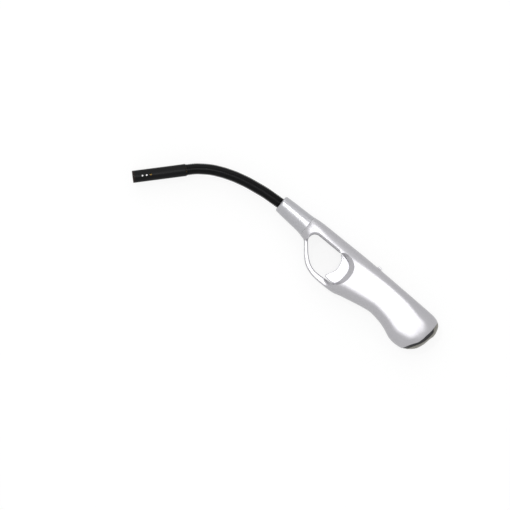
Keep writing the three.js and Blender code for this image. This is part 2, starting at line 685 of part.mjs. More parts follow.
function gasValve() {
  const bore = STEM_RADIUS + GAP;
  const flangeEnd = TANK_X - GAP;
  const flangeX = flangeEnd - VALVE_FLANGE_LENGTH;
  const bodyEnd = TANK_X + VALVE_IN_TANK;
  const boreEnd = VALVE_X + STEM_BORE_DEPTH;
  const bodyProfile = [[bore, VALVE_X], [VALVE_RADIUS, VALVE_X], [VALVE_RADIUS, flangeX],
    [VALVE_FLANGE, flangeX], [VALVE_FLANGE, flangeEnd], [VALVE_RADIUS, flangeEnd],
    [VALVE_RADIUS, bodyEnd], [0, bodyEnd], [0, boreEnd], [bore, boreEnd]];
  add('valve_body', turnedAlongX(bodyProfile, 0, 0, 20), BRASS, 0.3, 1);
  const collarEnd = LEVER_X - LEVER_HALF_THICKNESS - GAP;
  const collarStart = collarEnd - COLLAR_THICKNESS;
  const stemStart = collarStart - STEM_NOSE;
  const stemEnd = VALVE_X + STEM_INSERTION;
  const stemProfile = [[0, stemStart], [STEM_RADIUS, stemStart], [STEM_RADIUS, collarStart],
    [COLLAR_RADIUS, collarStart], [COLLAR_RADIUS, collarEnd], [STEM_RADIUS, collarEnd],
    [STEM_RADIUS, stemEnd], [0, stemEnd]];
  add('valve_stem', turnedAlongX(stemProfile, 0, 0, 16), BRASS, 0.3, 1);
  const coil = spring(SPRING_STOP_X + SPRING_STOP_THICKNESS + GAP, collarStart - GAP, 0, 0,
    VALVE_SPRING_RADIUS, VALVE_SPRING_WIRE, VALVE_SPRING_TURNS);
  add('valve_spring', coil, STEEL, 0.35, 1);
  const ring = rodAlongX(ADJUSTER_X, ADJUSTER_X + ADJUSTER_WIDTH, 0, 0, ADJUSTER_RADIUS, 24);
  const tab = block(ADJUSTER_X, ADJUSTER_X + ADJUSTER_WIDTH, -ADJUSTER_TAB / 2, ADJUSTER_TAB / 2,
    -ADJUSTER_REACH, 0);
  const hole = rodAlongX(0, BEYOND, 0, 0, VALVE_RADIUS + GAP, 20);
  add('flame_adjuster', toGeometry(cut(join(ring, tab), hole)), BLACK_PLASTIC, 0.5, 0);
}

// Forked lever on its pin: the trigger's push arm swings the long arm, the fork pulls the stem

function gasLever() {
  const front = LEVER_X - LEVER_HALF_THICKNESS;
  const back = LEVER_X + LEVER_HALF_THICKNESS;
  const armOuter = PUSH_ARM_INNER + PUSH_ARM_THICKNESS;
  const hub = rodAlongZ(LEVER_X, LEVER_Y, -LEVER_HUB_REACH, armOuter, LEVER_HUB);
  const prongInner = STEM_RADIUS + GAP;
  const prongs = [prongInner, -prongInner - PRONG_THICKNESS].map((z0) =>
    block(front, back, LEVER_Y, FORK_TOP, z0, z0 + PRONG_THICKNESS));
  const arm = block(front, back, LEVER_Y - LEVER_ARM_LENGTH, LEVER_Y, PUSH_ARM_INNER, armOuter);
  const bore = rodAlongZ(LEVER_X, LEVER_Y, -BEYOND, BEYOND, LEVER_PIN + GAP, 12);
  add('gas_lever', toGeometry(cut(join(hub, ...prongs, arm), bore)), 0xcfcabb, 0.5, 0);
  const pin = rodAlongZ(LEVER_X, LEVER_Y, -LEVER_PIN_HALF_LENGTH, LEVER_PIN_HALF_LENGTH, LEVER_PIN, 12);
  add('lever_pin', toGeometry(pin), STEEL, 0.3, 1);
}

// Piezo unit: case, plunger with its spring, and the contact that feeds the lead

const CONTACT_Y = PIEZO_Y + PIEZO_SIZE / 2 + GAP + CONTACT_HEIGHT / 2;

function piezoUnit() {
  const beam = (x0, x1, half) => block(x0, x1, PIEZO_Y - half, PIEZO_Y + half, -half, half);
  const boreEnd = PIEZO_X + PLUNGER_BORE_DEPTH;
  const plungerHalf = PLUNGER_SIZE / 2;
  const plungerEnd = PIEZO_X + PLUNGER_REACH;
  const body = beam(PIEZO_X, PIEZO_X + PIEZO_LENGTH, PIEZO_SIZE / 2);
  add('piezo_case', toGeometry(cut(body, beam(0, boreEnd, plungerHalf + GAP))), 0x2a2a2d, 0.5, 0);
  add('piezo_plunger', toGeometry(beam(PIEZO_X - PLUNGER_REACH, plungerEnd, plungerHalf)), 0xd8d4c6, 0.5, 0);
  const coil = spring(plungerEnd + GAP, boreEnd - GAP, PIEZO_Y, 0, PIEZO_SPRING_RADIUS, PIEZO_SPRING_WIRE,
    PIEZO_SPRING_TURNS);
  add('piezo_spring', coil, STEEL, 0.35, 1);
  const button = new THREE.CylinderGeometry(CONTACT_RADIUS, CONTACT_RADIUS, CONTACT_HEIGHT, 12);
  const contact = add('piezo_contact', button, BRASS, 0.3, 1);
  contact.position.set(PIEZO_X + CONTACT_SETBACK, CONTACT_Y, 0);
}

// Trigger: curved finger piece, a tang against the piezo plunger and a side arm for the gas lever

const TRIGGER_FRONT = [[58, -2.4], [60.8, -4.8], [62.4, -9.3], [62.5, -14.5], [60.3, -19.1], [58.4, -22.2]];
const TRIGGER_BACK = [[59.9, -22.9], [66.9, -23], [69.4, -18.9], [70.1, -12.5], [69.6, -8.2], [67.7, -5.2],
  [64.4, -3.1], [60.4, -1.9]];

function trigger() {
  const head = plate([...smooth(TRIGGER_FRONT, 12), ...smooth(TRIGGER_BACK, 12)],
    -TRIGGER_HALF_WIDTH, TRIGGER_HALF_WIDTH, TRIGGER_EDGE);
  const tangEnd = PIEZO_X - PLUNGER_REACH - GAP;
  const tang = block(TANG_START, tangEnd, TANG_BOTTOM, TANG_TOP, -TANG_HALF_WIDTH, TANG_HALF_WIDTH);
  const armEnd = LEVER_X - LEVER_HALF_THICKNESS - GAP;
  const arm = block(TANG_START, armEnd, PUSH_ARM_BOTTOM, PUSH_ARM_TOP, PUSH_ARM_INNER,
    PUSH_ARM_INNER + PUSH_ARM_THICKNESS);
  add('trigger', toGeometry(join(head, tang, arm)), 0xc9c7cb, 0.4, 0.4);
}

// Safety catch: thumb pad on the top edge, held by a foot inside its slot

function safetyCatch() {
  const surface = at(TOP_EDGE, CATCH_X);
  const half = CATCH_LENGTH / 2;
  const padBottom = surface + GAP;
  const padTop = surface + CATCH_PROUD;
  const pad = plate([[CATCH_X - half, padBottom], [CATCH_X - half + CATCH_SLOPE, padTop],
    [CATCH_X + half - CATCH_SLOPE, padTop], [CATCH_X + half, padBottom]], -CATCH_HALF_WIDTH, CATCH_HALF_WIDTH);
  const stemHalf = CATCH_STEM_LENGTH / 2;
  const footTop = surface - WALL - GAP;
  const footBottom = footTop - CATCH_FOOT_THICKNESS;
  const stem = block(CATCH_X - stemHalf, CATCH_X + stemHalf, footBottom, (padBottom + padTop) / 2,
    -CATCH_STEM_HALF_WIDTH, CATCH_STEM_HALF_WIDTH);
  const foot = block(CATCH_X - half, CATCH_X + half, footBottom, footTop,
    -CATCH_FOOT_HALF_WIDTH, CATCH_FOOT_HALF_WIDTH);
  add('safety_catch', toGeometry(join(pad, stem, foot)), SILVER, 0.4, 0.5);
}

// Gooseneck: short ribbed links, each spigot turning in the next link's socket

// Place on the resting centre line, counted in ribs from the nose face
function neckPose(ribs) {
  const direction = (heading) => [-Math.cos(rad(heading)), -Math.sin(rad(heading))];
  let [x, y, heading, done] = [0, NECK_ROOT_Y, NECK_HEADING, 0];
  for (const bend of [...BEND_RIBS, Infinity]) {
    const [dx, dy] = direction(heading);
    const run = (Math.min(bend, ribs) - done) * RIB_PITCH;
    x += dx * run;
    y += dy * run;
    if (ribs <= bend) break;
    heading += BEND_STEP;
    done = bend;
  }
  return { x, y, heading };
}

// Group whose y axis runs along the neck from a rib, with its x axis towards the top edge
function neckGroup(ribs, headingRibs) {
  const pose = neckPose(ribs);
  const place = new THREE.Group();
  place.position.set(pose.x, pose.y, 0);
  place.rotation.z = rad(90 + neckPose(headingRibs).heading);
  group.add(place);
  return place;
}

function linkProfile(ribs, isFirst, isLast) {
  const length = ribs * RIB_PITCH;
  const valley = NECK_RADIUS - RIB_DEPTH;
  const socket = SPIGOT_RADIUS + SOCKET_CLEARANCE;
  const start = isFirst ? -NECK_TAIL : LINK_GAP / 2;
  const end = isLast ? length - GAP : length - LINK_GAP / 2;
  const ribbed = [];
  for (let i = 0; i < ribs; i += 1) {
    ribbed.push([NECK_RADIUS, (i + 0.5) * RIB_PITCH]);
    if (i + 1 < ribs) ribbed.push([valley, (i + 1) * RIB_PITCH]);
  }
  const front = isFirst
    ? [[NECK_BORE, start], [valley, start]]
    : [[NECK_BORE, SOCKET_DEPTH], [socket, SOCKET_DEPTH], [socket, start], [valley, start]];
  const back = isLast
    ? [[valley, end], [socket, end], [socket, end - SOCKET_DEPTH], [NECK_BORE, end - SOCKET_DEPTH]]
    : [[valley, end], [SPIGOT_RADIUS, end], [SPIGOT_RADIUS, length + SPIGOT_REACH],
      [NECK_BORE, length + SPIGOT_REACH]];
  return [...front, ...ribbed, ...back];
}

function gooseneck() {
  const joints = [...BEND_RIBS, ...SWAY_RIBS].sort((a, b) => a - b);
  const starts = [0, ...joints];
  starts.forEach((from, i) => {
    const to = i + 1 < starts.length ? starts[i + 1] : RIB_COUNT;
    const place = neckGroup(from, (from + to) / 2);
    const profile = linkProfile(to - from, i === 0, to === RIB_COUNT);
    const name = `neck_link_${String(i + 1).padStart(2, '0')}`;
    add(name, turned(profile, NECK_SIDES), 0x141416, 0.3, 0, place);
  });
}

function neckSocket() {
  const tailSeat = NECK_RADIUS - RIB_DEPTH + GAP;
  const fit = FERRULE_WALL + FERRULE_STEP + GAP;
  const plug = handleForm(NOSE_WALL + GAP, FERRULE_LENGTH - TONGUE_LENGTH - GAP, fit);
  const steps = [[tailSeat, NECK_TAIL + GAP], [NECK_BORE + LINE_ROOM, FERRULE_LENGTH]];
  const bores = steps.map(([radius, depth]) => {
    const bore = turned([[0, GAP], [radius, GAP], [radius, -depth], [0, -depth]], 20);
    bore.rotateZ(rad(90 + NECK_HEADING));
    bore.translate(0, NECK_ROOT_Y, 0);
    return toSolid(bore);
  });
  add('neck_socket', toGeometry(cut(plug, ...bores)), 0x3c3d40, 0.4, 0.5);
}

// Nozzle: drilled tube with a rolled rear lip, holder, brass burner, spark wire in its sleeve

function nozzle() {
  const place = neckGroup(RIB_COUNT, RIB_COUNT);
  const inner = NOZZLE_RADIUS - NOZZLE_WALL;
  const throat = SPIGOT_RADIUS + GAP;
  const eased = NOZZLE_RADIUS - NOZZLE_ROUNDING;
  const tube = turned([[throat, 0], [eased, 0], [NOZZLE_RADIUS, NOZZLE_ROUNDING],
    [NOZZLE_RADIUS, NOZZLE_LENGTH - NOZZLE_ROUNDING], [eased, NOZZLE_LENGTH], [inner, NOZZLE_LENGTH],
    [inner, NOZZLE_LIP], [throat, NOZZLE_LIP]], 24);
  const holes = Array.from({ length: AIR_HOLES }, (_, i) => {
    const along = NOZZLE_LENGTH - AIR_HOLE_FROM_TIP - i * AIR_HOLE_SPACING;
    return rodAlongZ(0, along, -BEYOND, BEYOND, AIR_HOLE_RADIUS, 10);
  });
  add('nozzle_tube', toGeometry(cut(toSolid(tube), ...holes)), 0x1b1b1d, 0.35, 0.6, place);

  const body = inner - GAP;
  const spigotEnd = -GAP - SPIGOT_REACH;
  const holderStart = NOZZLE_LIP + GAP;
  const holderEnd = holderStart + HOLDER_LENGTH;
  const holder = turned([[NECK_BORE, spigotEnd], [SPIGOT_RADIUS, spigotEnd], [SPIGOT_RADIUS, holderStart],
    [body, holderStart], [body, holderEnd], [NECK_BORE, holderEnd]], 20);
  add('nozzle_holder', holder, BRASS, 0.35, 1, place);

  const burnerEnd = NOZZLE_LENGTH - BURNER_SETBACK;
  const headStart = burnerEnd - BURNER_HEAD_LENGTH;
  const jetStart = holderEnd + GAP;
  const cup = BURNER_HEAD_RADIUS - BURNER_RIM;
  const jet = turned([[0, jetStart], [BURNER_STEM_RADIUS, jetStart], [BURNER_STEM_RADIUS, headStart],
    [BURNER_HEAD_RADIUS, headStart + BURNER_TAPER], [BURNER_HEAD_RADIUS, burnerEnd], [cup, burnerEnd],
    [cup, burnerEnd - BURNER_CUP], [0, burnerEnd - BURNER_CUP]], 20);
  add('burner_jet', jet, BRASS, 0.3, 1, place);

  const sleeveEnd = headStart - GAP;
  const sleeveBore = WIRE_RADIUS + WIRE_FIT;
  const sleeve = turned([[sleeveBore, jetStart], [INSULATOR_RADIUS, jetStart],
    [INSULATOR_RADIUS, sleeveEnd], [sleeveBore, sleeveEnd]], 12);
  sleeve.translate(INSULATOR_OFFSET, 0, 0);
  add('electrode_insulator', sleeve, 0xe6e0d2, 0.4, 0, place);
  const [middle, wireEnd] = [(jetStart + sleeveEnd) / 2, burnerEnd + WIRE_PAST_BURNER];
  const wire = cable([[INSULATOR_OFFSET, jetStart, 0], [INSULATOR_OFFSET, middle, 0],
    [INSULATOR_OFFSET, sleeveEnd, 0], [INSULATOR_OFFSET + WIRE_FIT, (sleeveEnd + burnerEnd) / 2, 0],
    [INSULATOR_OFFSET + WIRE_FIT, burnerEnd, 0], [WIRE_TIP_OFFSET, wireEnd, 0]], WIRE_RADIUS, 24, 6);
  add('electrode', wire, STEEL, 0.35, 1, place);
}

// Gas line and ignition lead: inside the handle, through the neck, into the nozzle holder

function throughNeck(offset, ribsPastNeck) {
  const points = [];
  for (let ribs = -12; ribs <= RIB_COUNT + ribsPastNeck; ribs += 3) {
    const { x, y, heading } = neckPose(ribs);
    points.push([x - offset * Math.sin(rad(heading)), y + offset * Math.cos(rad(heading)), 0]);
  }
  return points;
}

function lines() {
  const stemTip = LEVER_X - LEVER_HALF_THICKNESS - GAP - COLLAR_THICKNESS - STEM_NOSE;
  const gasInHandle = [[stemTip - GAP, 0, 0], [95, 0, 0], [91.6, 0, 0], [87, 1, -0.4], [81, 2.2, -1],
    [72, 3.3, -1.3], [60, 3.5, -1.3], [48, 3.2, -1.2], [38, 2.2, -1], [30, 0.2, -0.6], [24, -0.4, -0.1]];
  add('gas_line', cable([...gasInHandle, ...throughNeck(GAS_LINE_OFFSET, 3)], GAS_LINE_RADIUS, LINE_STEPS),
    0x1d1d20, 0.5, 0);
  const leadInHandle = [[PIEZO_X + 1.5, CONTACT_Y, 0], [89, CONTACT_Y, 0.8], [85, -3.6, 2.1], [80, 0.6, 2.4],
    [75, 2.9, 1.9], [66, 3.6, 1.4], [52, 3.6, 1.4], [40, 3.4, 1.3], [31, 2.6, 0.7], [24, 1.9, 0.1]];
  add('ignition_lead', cable([...leadInHandle, ...throughNeck(LEAD_OFFSET, 3)], LEAD_RADIUS, LINE_STEPS),
    0x5a1f1c, 0.5, 0);
}

handleShells();
shellScrews();
noseFerrule();
buttPieces();
fuelTank();
gasValve();
gasLever();
piezoUnit();
trigger();
safetyCatch();
gooseneck();
neckSocket();
nozzle();
lines();

export default group;
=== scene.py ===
"""Flexible-neck gas lighter on a white table: a moulded silver handle with its trigger in a guard loop,
a black ribbed gooseneck and a black drilled nozzle. The frame gives every place, this script the looks."""

import math

import bmesh
import bpy
from mathutils import Matrix, Vector


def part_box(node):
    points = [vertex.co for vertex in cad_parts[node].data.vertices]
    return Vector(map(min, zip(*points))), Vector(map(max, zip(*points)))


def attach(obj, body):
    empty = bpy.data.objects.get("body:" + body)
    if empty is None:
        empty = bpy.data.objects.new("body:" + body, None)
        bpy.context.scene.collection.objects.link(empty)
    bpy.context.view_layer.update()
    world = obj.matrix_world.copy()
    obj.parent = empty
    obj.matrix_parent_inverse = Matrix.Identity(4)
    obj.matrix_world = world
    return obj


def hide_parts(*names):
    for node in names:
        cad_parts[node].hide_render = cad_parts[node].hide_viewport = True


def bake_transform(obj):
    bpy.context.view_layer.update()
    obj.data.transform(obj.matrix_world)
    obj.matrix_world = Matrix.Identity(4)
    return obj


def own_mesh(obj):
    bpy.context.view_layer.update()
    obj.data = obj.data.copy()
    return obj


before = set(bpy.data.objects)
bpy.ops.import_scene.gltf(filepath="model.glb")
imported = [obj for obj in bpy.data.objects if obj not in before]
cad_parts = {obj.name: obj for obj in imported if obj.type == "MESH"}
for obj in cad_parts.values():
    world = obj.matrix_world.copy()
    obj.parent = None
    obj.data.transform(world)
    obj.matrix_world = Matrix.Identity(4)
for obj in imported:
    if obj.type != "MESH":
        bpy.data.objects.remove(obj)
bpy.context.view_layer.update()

# Handle millimetres: x from the nose face to the butt, y towards the top edge, z towards the left side
MM = 0.001
FROM_HANDLE = Matrix.Scale(MM, 4) @ Matrix.Translation((-88, 9, 11))
# Cutters reach this far, past the handle on every side
BEYOND = 30.0
HANDLE_LENGTH = 151.0
HALF_THICKNESS = 11.0
WALL = 1.8
CLEARANCE = 0.3
FERRULE_LENGTH = 25.6
FERRULE_STEP = 0.15
SEAM = 0.12


def place(x, y, z=0.0):
    """A point of the handle in the row frame, in metres."""
    return FROM_HANDLE @ Vector((x, y, z))


def from_butt(*points):
    """Points of a curve given by their distance from the butt."""
    return [(HANDLE_LENGTH + x, value) for x, value in points]


# Side-view curves of the handle: x from the nose, or from the butt, and the value there
TOP_EDGE = [(0, 6.2), (9, 6.5), (25, 6.75), (33, 7.35), (57, 7.25), (75, 7.1)] + from_butt(
    (-58.5, 6.6), (-40.5, 5.9), (-22.5, 5.2), (-10.5, 4.6), (-7.5, 4.1), (-4.5, 3.0), (-2, 0.9), (-0.8, -1.5),
    (0, -4.5))
LOWER_EDGE = [
    (0, -7.4), (9, -8.3), (21, -9.4), (27, -10.5), (30, -11.6), (33, -15.1), (36, -18.8), (39, -22.2),
    (42, -24.8), (45, -26.5), (51, -28.4), (60, -29.1), (71, -28.9), (78, -27.1)] + from_butt(
    (-50.5, -22.9), (-42.5, -23.5), (-34.5, -25.4), (-25.5, -29.1), (-20.5, -29.9), (-13.5, -29.3),
    (-10.5, -27.8), (-7.5, -25.6), (-4.3, -22.2), (-2.1, -17.3), (-1.2, -13.7), (0, -9.4))
HALF_WIDTH = [(0, 7.1), (25, 8.5), (28, 9.7), (42, 11.0), (54, 11.8), (62, 11.9)] + from_butt(
    (-13.5, 11.9), (-7.5, 10.7), (-4.5, 9.4), (-2, 7.3), (-0.8, 5.3), (0, 3.4))
# Share of the height at which the section is widest, and how square it is above and below that
WIDEST_AT = [(0, 0.61), (30, 0.58), (50, 0.5)]
UPPER_SQUARENESS = [(0, 2.2), (25, 2.5), (36, 3.4), (60, 3.4)] + from_butt(
    (-32, 3.4), (-14, 2.6), (0, 2.4))
LOWER_SQUARENESS = [(0, 2.2), (25, 2.3), (36, 2.9), (58, 2.9), (66, 2.6)] + from_butt(
    (-30, 2.6), (-14, 2.2), (0, 2.2))
# Height of the flat sides, the guard's own, how they fall away at the butt, and the width of their edges
SIDE_FLAT = [(25, 8.9), (28, 9.4), (56, HALF_THICKNESS), (80, HALF_THICKNESS)]
GUARD_FLAT = 5.2
BUTT_EASE = 16.0
BUTT_FALL = 0.0065
UPPER_EASE = 0.5
LOWER_EASE = 0.9

# Side-view outlines of the openings
WINDOW_FRONT = [(34.3, -11.9), (32.6, -9.8), (31.8, -8.1), (32.1, -5.6), (33.7, -3.1), (36.1, -1.9)]
WINDOW_REAR = [(57, -2.3), (59.5, -1.6), (64.6, -2.7), (68, -4.8), (70, -8.1), (70.5, -12.5), (69.8, -18.9),
               (67.3, -23.4)]
WINDOW_FLOOR = [(58.7, -24.5), (50.6, -24.4), (44.8, -22.2), (39.7, -18.1), (36.6, -14.7)]
SCOOP_RIM = [(57.2, -2), (60.4, 0.2), (65.4, 0.3), (70.4, -1.9), (73.1, -5.2), (74.3, -10), (73.8, -16),
             (71.4, -21.4), (66.8, -25.6)]
SCOOP_LIP = 8.4
SOLID_ROUND_WINDOW = [(26, -40), (26, -8.4), (29.8, -7.6), (29.8, -6.5), (31.4, -2), (35, -0.1), (57, -0.3),
                      (58.4, 1.2), (66, 1.2), (70, -0.4), (66, -6), (66, -24), (69, -26.4), (69, -40)]
SLIT_INNER = from_butt((-4.3, 9), (-3.75, -2.4), (-4.1, -7), (-4.7, -10.5), (-5.2, -14), (-6.4, -18),
                       (-9.2, -22.2), (-11.4, -26), (-14.5, -32))
SLIT_OUTER = from_butt((-4.2, 9), (-3.6, -2.2), (-2.1, -4.6), (-1.8, -7), (-2.1, -10), (-2.8, -13.5),
                       (-4.5, -18), (-7.1, -22.4), (-9.3, -26.2), (-12.4, -32))
SLIT_TOP = -2.4
TRIGGER_FRONT = [(58, -2.4), (60.8, -4.8), (62.4, -9.3), (62.5, -14.5), (60.3, -19.1), (58.4, -22.2)]
TRIGGER_BACK = [(59.9, -22.9), (67.3, -23.1), (70.4, -18.9), (71.2, -12.5), (70.6, -8.2), (68.5, -4.9),
                (64.6, -2.8), (60.4, -1.9)]
TRIGGER_HALF_WIDTH = 7.2
TRIGGER_TRAVEL = 5.0


# Form of the handle

def at(curve, x):
    """Value of a side-view curve at x, smooth between its points."""
    last = len(curve) - 1
    if x <= curve[0][0]:
        return curve[0][1]
    if x >= curve[last][0]:
        return curve[last][1]
    i = next(k for k, point in enumerate(curve) if point[0] >= x) - 1

    def slope(k):
        (x0, y0), (x1, y1) = curve[max(k - 1, 0)], curve[min(k + 1, last)]
        return (y1 - y0) / (x1 - x0)

    (x0, y0), (x1, y1) = curve[i], curve[i + 1]
    step = x1 - x0
    t = (x - x0) / step
    return y0 + (y1 - y0) * (3 - 2 * t) * t * t + step * t * (1 - t) * ((1 - t) * slope(i) - t * slope(i + 1))


def eased(share):
    """A share held between 0 and 1, with a soft start and end."""
    share = min(max(share, 0), 1)
    return share * share * (3 - 2 * share)


def side_flat(x, y):
    """Height of the handle's flat side. The guard is a narrower bar with a flat of its own, and towards the
    butt the side falls away slowly."""
    guard_top = -8.5 - 14.2 * eased((x - 54) / 6)
    fade = 2.0 + 2.0 * eased((x - 58) / 6)
    on_guard = eased((74 - x) / 11) * eased((guard_top - y) / fade)
    past = max(x - (HANDLE_LENGTH - BUTT_EASE), 0)
    side = at(SIDE_FLAT, x)
    return side + (GUARD_FLAT - side) * on_guard - BUTT_FALL * past * past


def flattened(z, flat, ease):
    """z held below the flat side, with an eased edge where the flat begins."""
    over = abs(z) - flat
    if over < -ease:
        return z
    held = flat if over > ease else flat - (ease - over) ** 2 / (4 * ease)
    return math.copysign(held, z)


def section_point(x, turn, inset):
    """Point of the handle's skin at x, turn going once round from the left side over the top edge."""
    top = at(TOP_EDGE, x) - inset
    bottom = at(LOWER_EDGE, x) + inset
    angle = turn * 2 * math.pi
    power = 2 / at(LOWER_SQUARENESS if math.sin(angle) < 0 else UPPER_SQUARENESS, x)
    up = math.copysign(abs(math.sin(angle)) ** power, math.sin(angle))
    out = math.copysign(abs(math.cos(angle)) ** power, math.cos(angle))
    middle = bottom + (top - bottom) * at(WIDEST_AT, x)
    y = middle + up * (top - middle if up > 0 else middle - bottom)
    ease = UPPER_EASE if up > 0 else LOWER_EASE
    return Vector((x, y, flattened(out * (at(HALF_WIDTH, x) - inset), side_flat(x, y) - inset, ease)))


def skin_height(x, y):
    """How far the handle's skin stands out to the side above a point of the side view."""
    x = min(max(x, 0), HANDLE_LENGTH)
    top, bottom = at(TOP_EDGE, x), at(LOWER_EDGE, x)
    middle = bottom + (top - bottom) * at(WIDEST_AT, x)
    up = (y - middle) / (top - middle if y > middle else middle - bottom)
    if abs(up) >= 1:
        return 0.0
    squareness = at(LOWER_SQUARENESS if up < 0 else UPPER_SQUARENESS, x)
    out = (1 - abs(up) ** squareness) ** (1 / squareness)
    return flattened(out * at(HALF_WIDTH, x), side_flat(x, y), UPPER_EASE if up > 0 else LOWER_EASE)


def smooth(points, steps):
    """Points on one smooth open curve through a few given ones."""
    last = len(points) - 1
    made = []
    for k in range(steps + 1):
        i = min(int(k * last / steps), last - 1)
        t = k * last / steps - i
        p0, p1, p2, p3 = (points[min(max(i + j, 0), last)] for j in (-1, 0, 1, 2))
        made.append(tuple(
            b + t * ((c - a) / 2 + t * (a - 2.5 * b + 2 * c - d / 2 + t * (1.5 * b - 1.5 * c + (d - a) / 2)))
            for a, b, c, d in zip(p0, p1, p2, p3)))
    return made


def evened(points, count, closed=True):
    """The same line walked in equal steps."""
    line = list(points) + ([points[0]] if closed else [])
    lengths = [0.0]
    for a, b in zip(line, line[1:]):
        lengths.append(lengths[-1] + math.dist(a, b))
    made = []
    i = 0
    for k in range(count):
        goal = lengths[-1] * k / (count if closed else count - 1)
        while i < len(line) - 2 and lengths[i + 1] < goal:
            i += 1
        share = (goal - lengths[i]) / max(lengths[i + 1] - lengths[i], 1e-9)
        made.append(tuple(a + share * (b - a) for a, b in zip(line[i], line[i + 1])))
    return made


def softened(points, rounds):
    """A closed line with its corners rounded: each point is drawn to its neighbours' middle a few times."""
    for _ in range(rounds):
        ahead = points[1:] + points[:1]
        points = [tuple((a + 2 * b + c) / 4 for a, b, c in zip(before, here, after))
                  for before, here, after in zip(points[-1:] + points[:-1], points, ahead)]
    return points


def side_normals(outline):
    """Unit directions away from a closed outline."""
    count = len(outline)
    area = sum(a[0] * b[1] - b[0] * a[1] for a, b in zip(outline, outline[1:] + outline[:1]))
    side = math.copysign(1, area)
    made = []
    for i in range(count):
        (ax, ay), (bx, by) = outline[i - 1], outline[(i + 1) % count]
        run = math.hypot(bx - ax, by - ay)
        made.append((side * (by - ay) / run, -side * (bx - ax) / run))
    return made


# Small tools for meshes

def wrapped(rings, around, point):
    """Closed skin from a grid whose rows are wrapped into rings, with flat ends."""
    bm = bmesh.new()
    bmesh.ops.create_grid(bm, x_segments=around, y_segments=rings - 1, size=1)
    for vert in bm.verts:
        ring = round((vert.co.y + 1) / 2 * (rings - 1))
        step = round((vert.co.x + 1) / 2 * around) % around
        vert.co = point(ring, step)
    bmesh.ops.remove_doubles(bm, verts=bm.verts, dist=1e-4)
    bmesh.ops.holes_fill(bm, edges=[edge for edge in bm.edges if edge.is_boundary])
    bmesh.ops.recalc_face_normals(bm, faces=bm.faces)
    return bm


def handle_form(x0, x1, inset, rings, around):
    """Handle form between two places, drawn in by inset. Its rings are even steps along the lower edge."""
    edge = [(x, at(LOWER_EDGE, x)) for x in (x0 + (x1 - x0) * k / 400 for k in range(401))]
    places = [x for x, _ in evened(edge, rings, closed=False)]
    return wrapped(rings, around, lambda ring, step: section_point(places[ring], step / around, inset))


def prism(outline, z0, z1):
    """Straight-sided solid over a side-view outline."""
    return wrapped(2, len(outline), lambda ring, step: Vector((*outline[step], (z0, z1)[ring])))


FLARE_ARC = 75


def flared_prism(outline, height, radius):
    """Straight-sided cutter that opens out at both skins of the handle, so that it leaves a rounded edge.
    height(x, y) is the skin's, and radius(i) the rounding at a point of the outline."""
    outward = side_normals(outline)
    steps = [FLARE_ARC * k / 5 for k in range(6)]
    levels = [(-1, None)] + [(-1, a) for a in reversed(steps)] + [(1, a) for a in steps] + [(1, None)]

    def point(ring, i):
        sign, angle = levels[ring]
        turn = math.radians(FLARE_ARC if angle is None else angle)
        offset = radius(i) * (1 - math.cos(turn))
        x = outline[i][0] + outward[i][0] * offset
        y = outline[i][1] + outward[i][1] * offset
        if angle is None:
            return Vector((x, y, sign * BEYOND))
        return Vector((x, y, sign * max(height(x, y) - radius(i) * (1 - math.sin(turn)), 0.2)))

    return wrapped(len(levels), len(outline), point)


def rod(start, end, radius, sides=32, end_radius=None):
    """Round solid between two points of the handle."""
    bm = bmesh.new()
    axis = Vector(end) - Vector(start)
    bmesh.ops.create_cone(bm, cap_ends=True, segments=sides, radius1=radius,
                          radius2=radius if end_radius is None else end_radius, depth=axis.length)
    turn = axis.to_track_quat("Z", "Y").to_matrix().to_4x4()
    bm.transform(Matrix.Translation((Vector(start) + Vector(end)) / 2) @ turn)
    return bm


def box(x0, x1, y0, y1, z0, z1):
    bm = bmesh.new()
    bmesh.ops.create_cube(bm, size=1)
    bm.transform(Matrix.Translation(((x0 + x1) / 2, (y0 + y1) / 2, (z0 + z1) / 2))
                 @ Matrix.Diagonal((x1 - x0, y1 - y0, z1 - z0, 1)))
    return bm


def as_object(bm, name):
    mesh = bpy.data.meshes.new(name)
    bm.to_mesh(mesh)
    bm.free()
    obj = bpy.data.objects.new(name, mesh)
    bpy.context.scene.collection.objects.link(obj)
    return obj


def combined(base, tools, operation="DIFFERENCE"):
    """base cut by, joined to or kept inside the tools. All are closed meshes; the tools are used up."""
    body = as_object(base, "base")
    for tool in tools:
        other = as_object(tool, "tool")
        change = body.modifiers.new("change", "BOOLEAN")
        change.operation = operation
        change.solver = "MANIFOLD"
        change.object = other
        graph = bpy.context.evaluated_depsgraph_get()
        result = bpy.data.meshes.new_from_object(body.evaluated_get(graph))
        body.modifiers.clear()
        body.data = result
        bpy.data.objects.remove(other)
    bm = bmesh.new()
    bm.from_mesh(body.data)
    bpy.data.objects.remove(body)
    return bm


def piece(bm, name, finish, body, stands_for=(), slot=None, crease=32):
    """Finished piece: placed in the row frame, shaded, coloured, and riding on its CAD body."""
    bmesh.ops.triangulate(bm, faces=[face for face in bm.faces if len(face.verts) > 4])
    bm.transform(FROM_HANDLE)
    obj = as_object(bm, name)
    obj.data.materials.append(finish)
    obj.data.shade_smooth()
    obj.data.set_sharp_from_angle(angle=math.radians(crease))
    even = obj.modifiers.new("flat faces lead", "WEIGHTED_NORMAL")
    even.keep_sharp = True
    if body:
        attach(obj, body)
    if stands_for:
        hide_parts(*stands_for)
    return obj


# Materials

def linear(code):
    """Linear colour from an sRGB hex value."""
    channels = [int(code[i:i + 2], 16) / 255 for i in (1, 3, 5)]
    return tuple(c / 12.92 if c <= 0.04045 else ((c + 0.055) / 1.055) ** 2.4 for c in channels) + (1.0,)


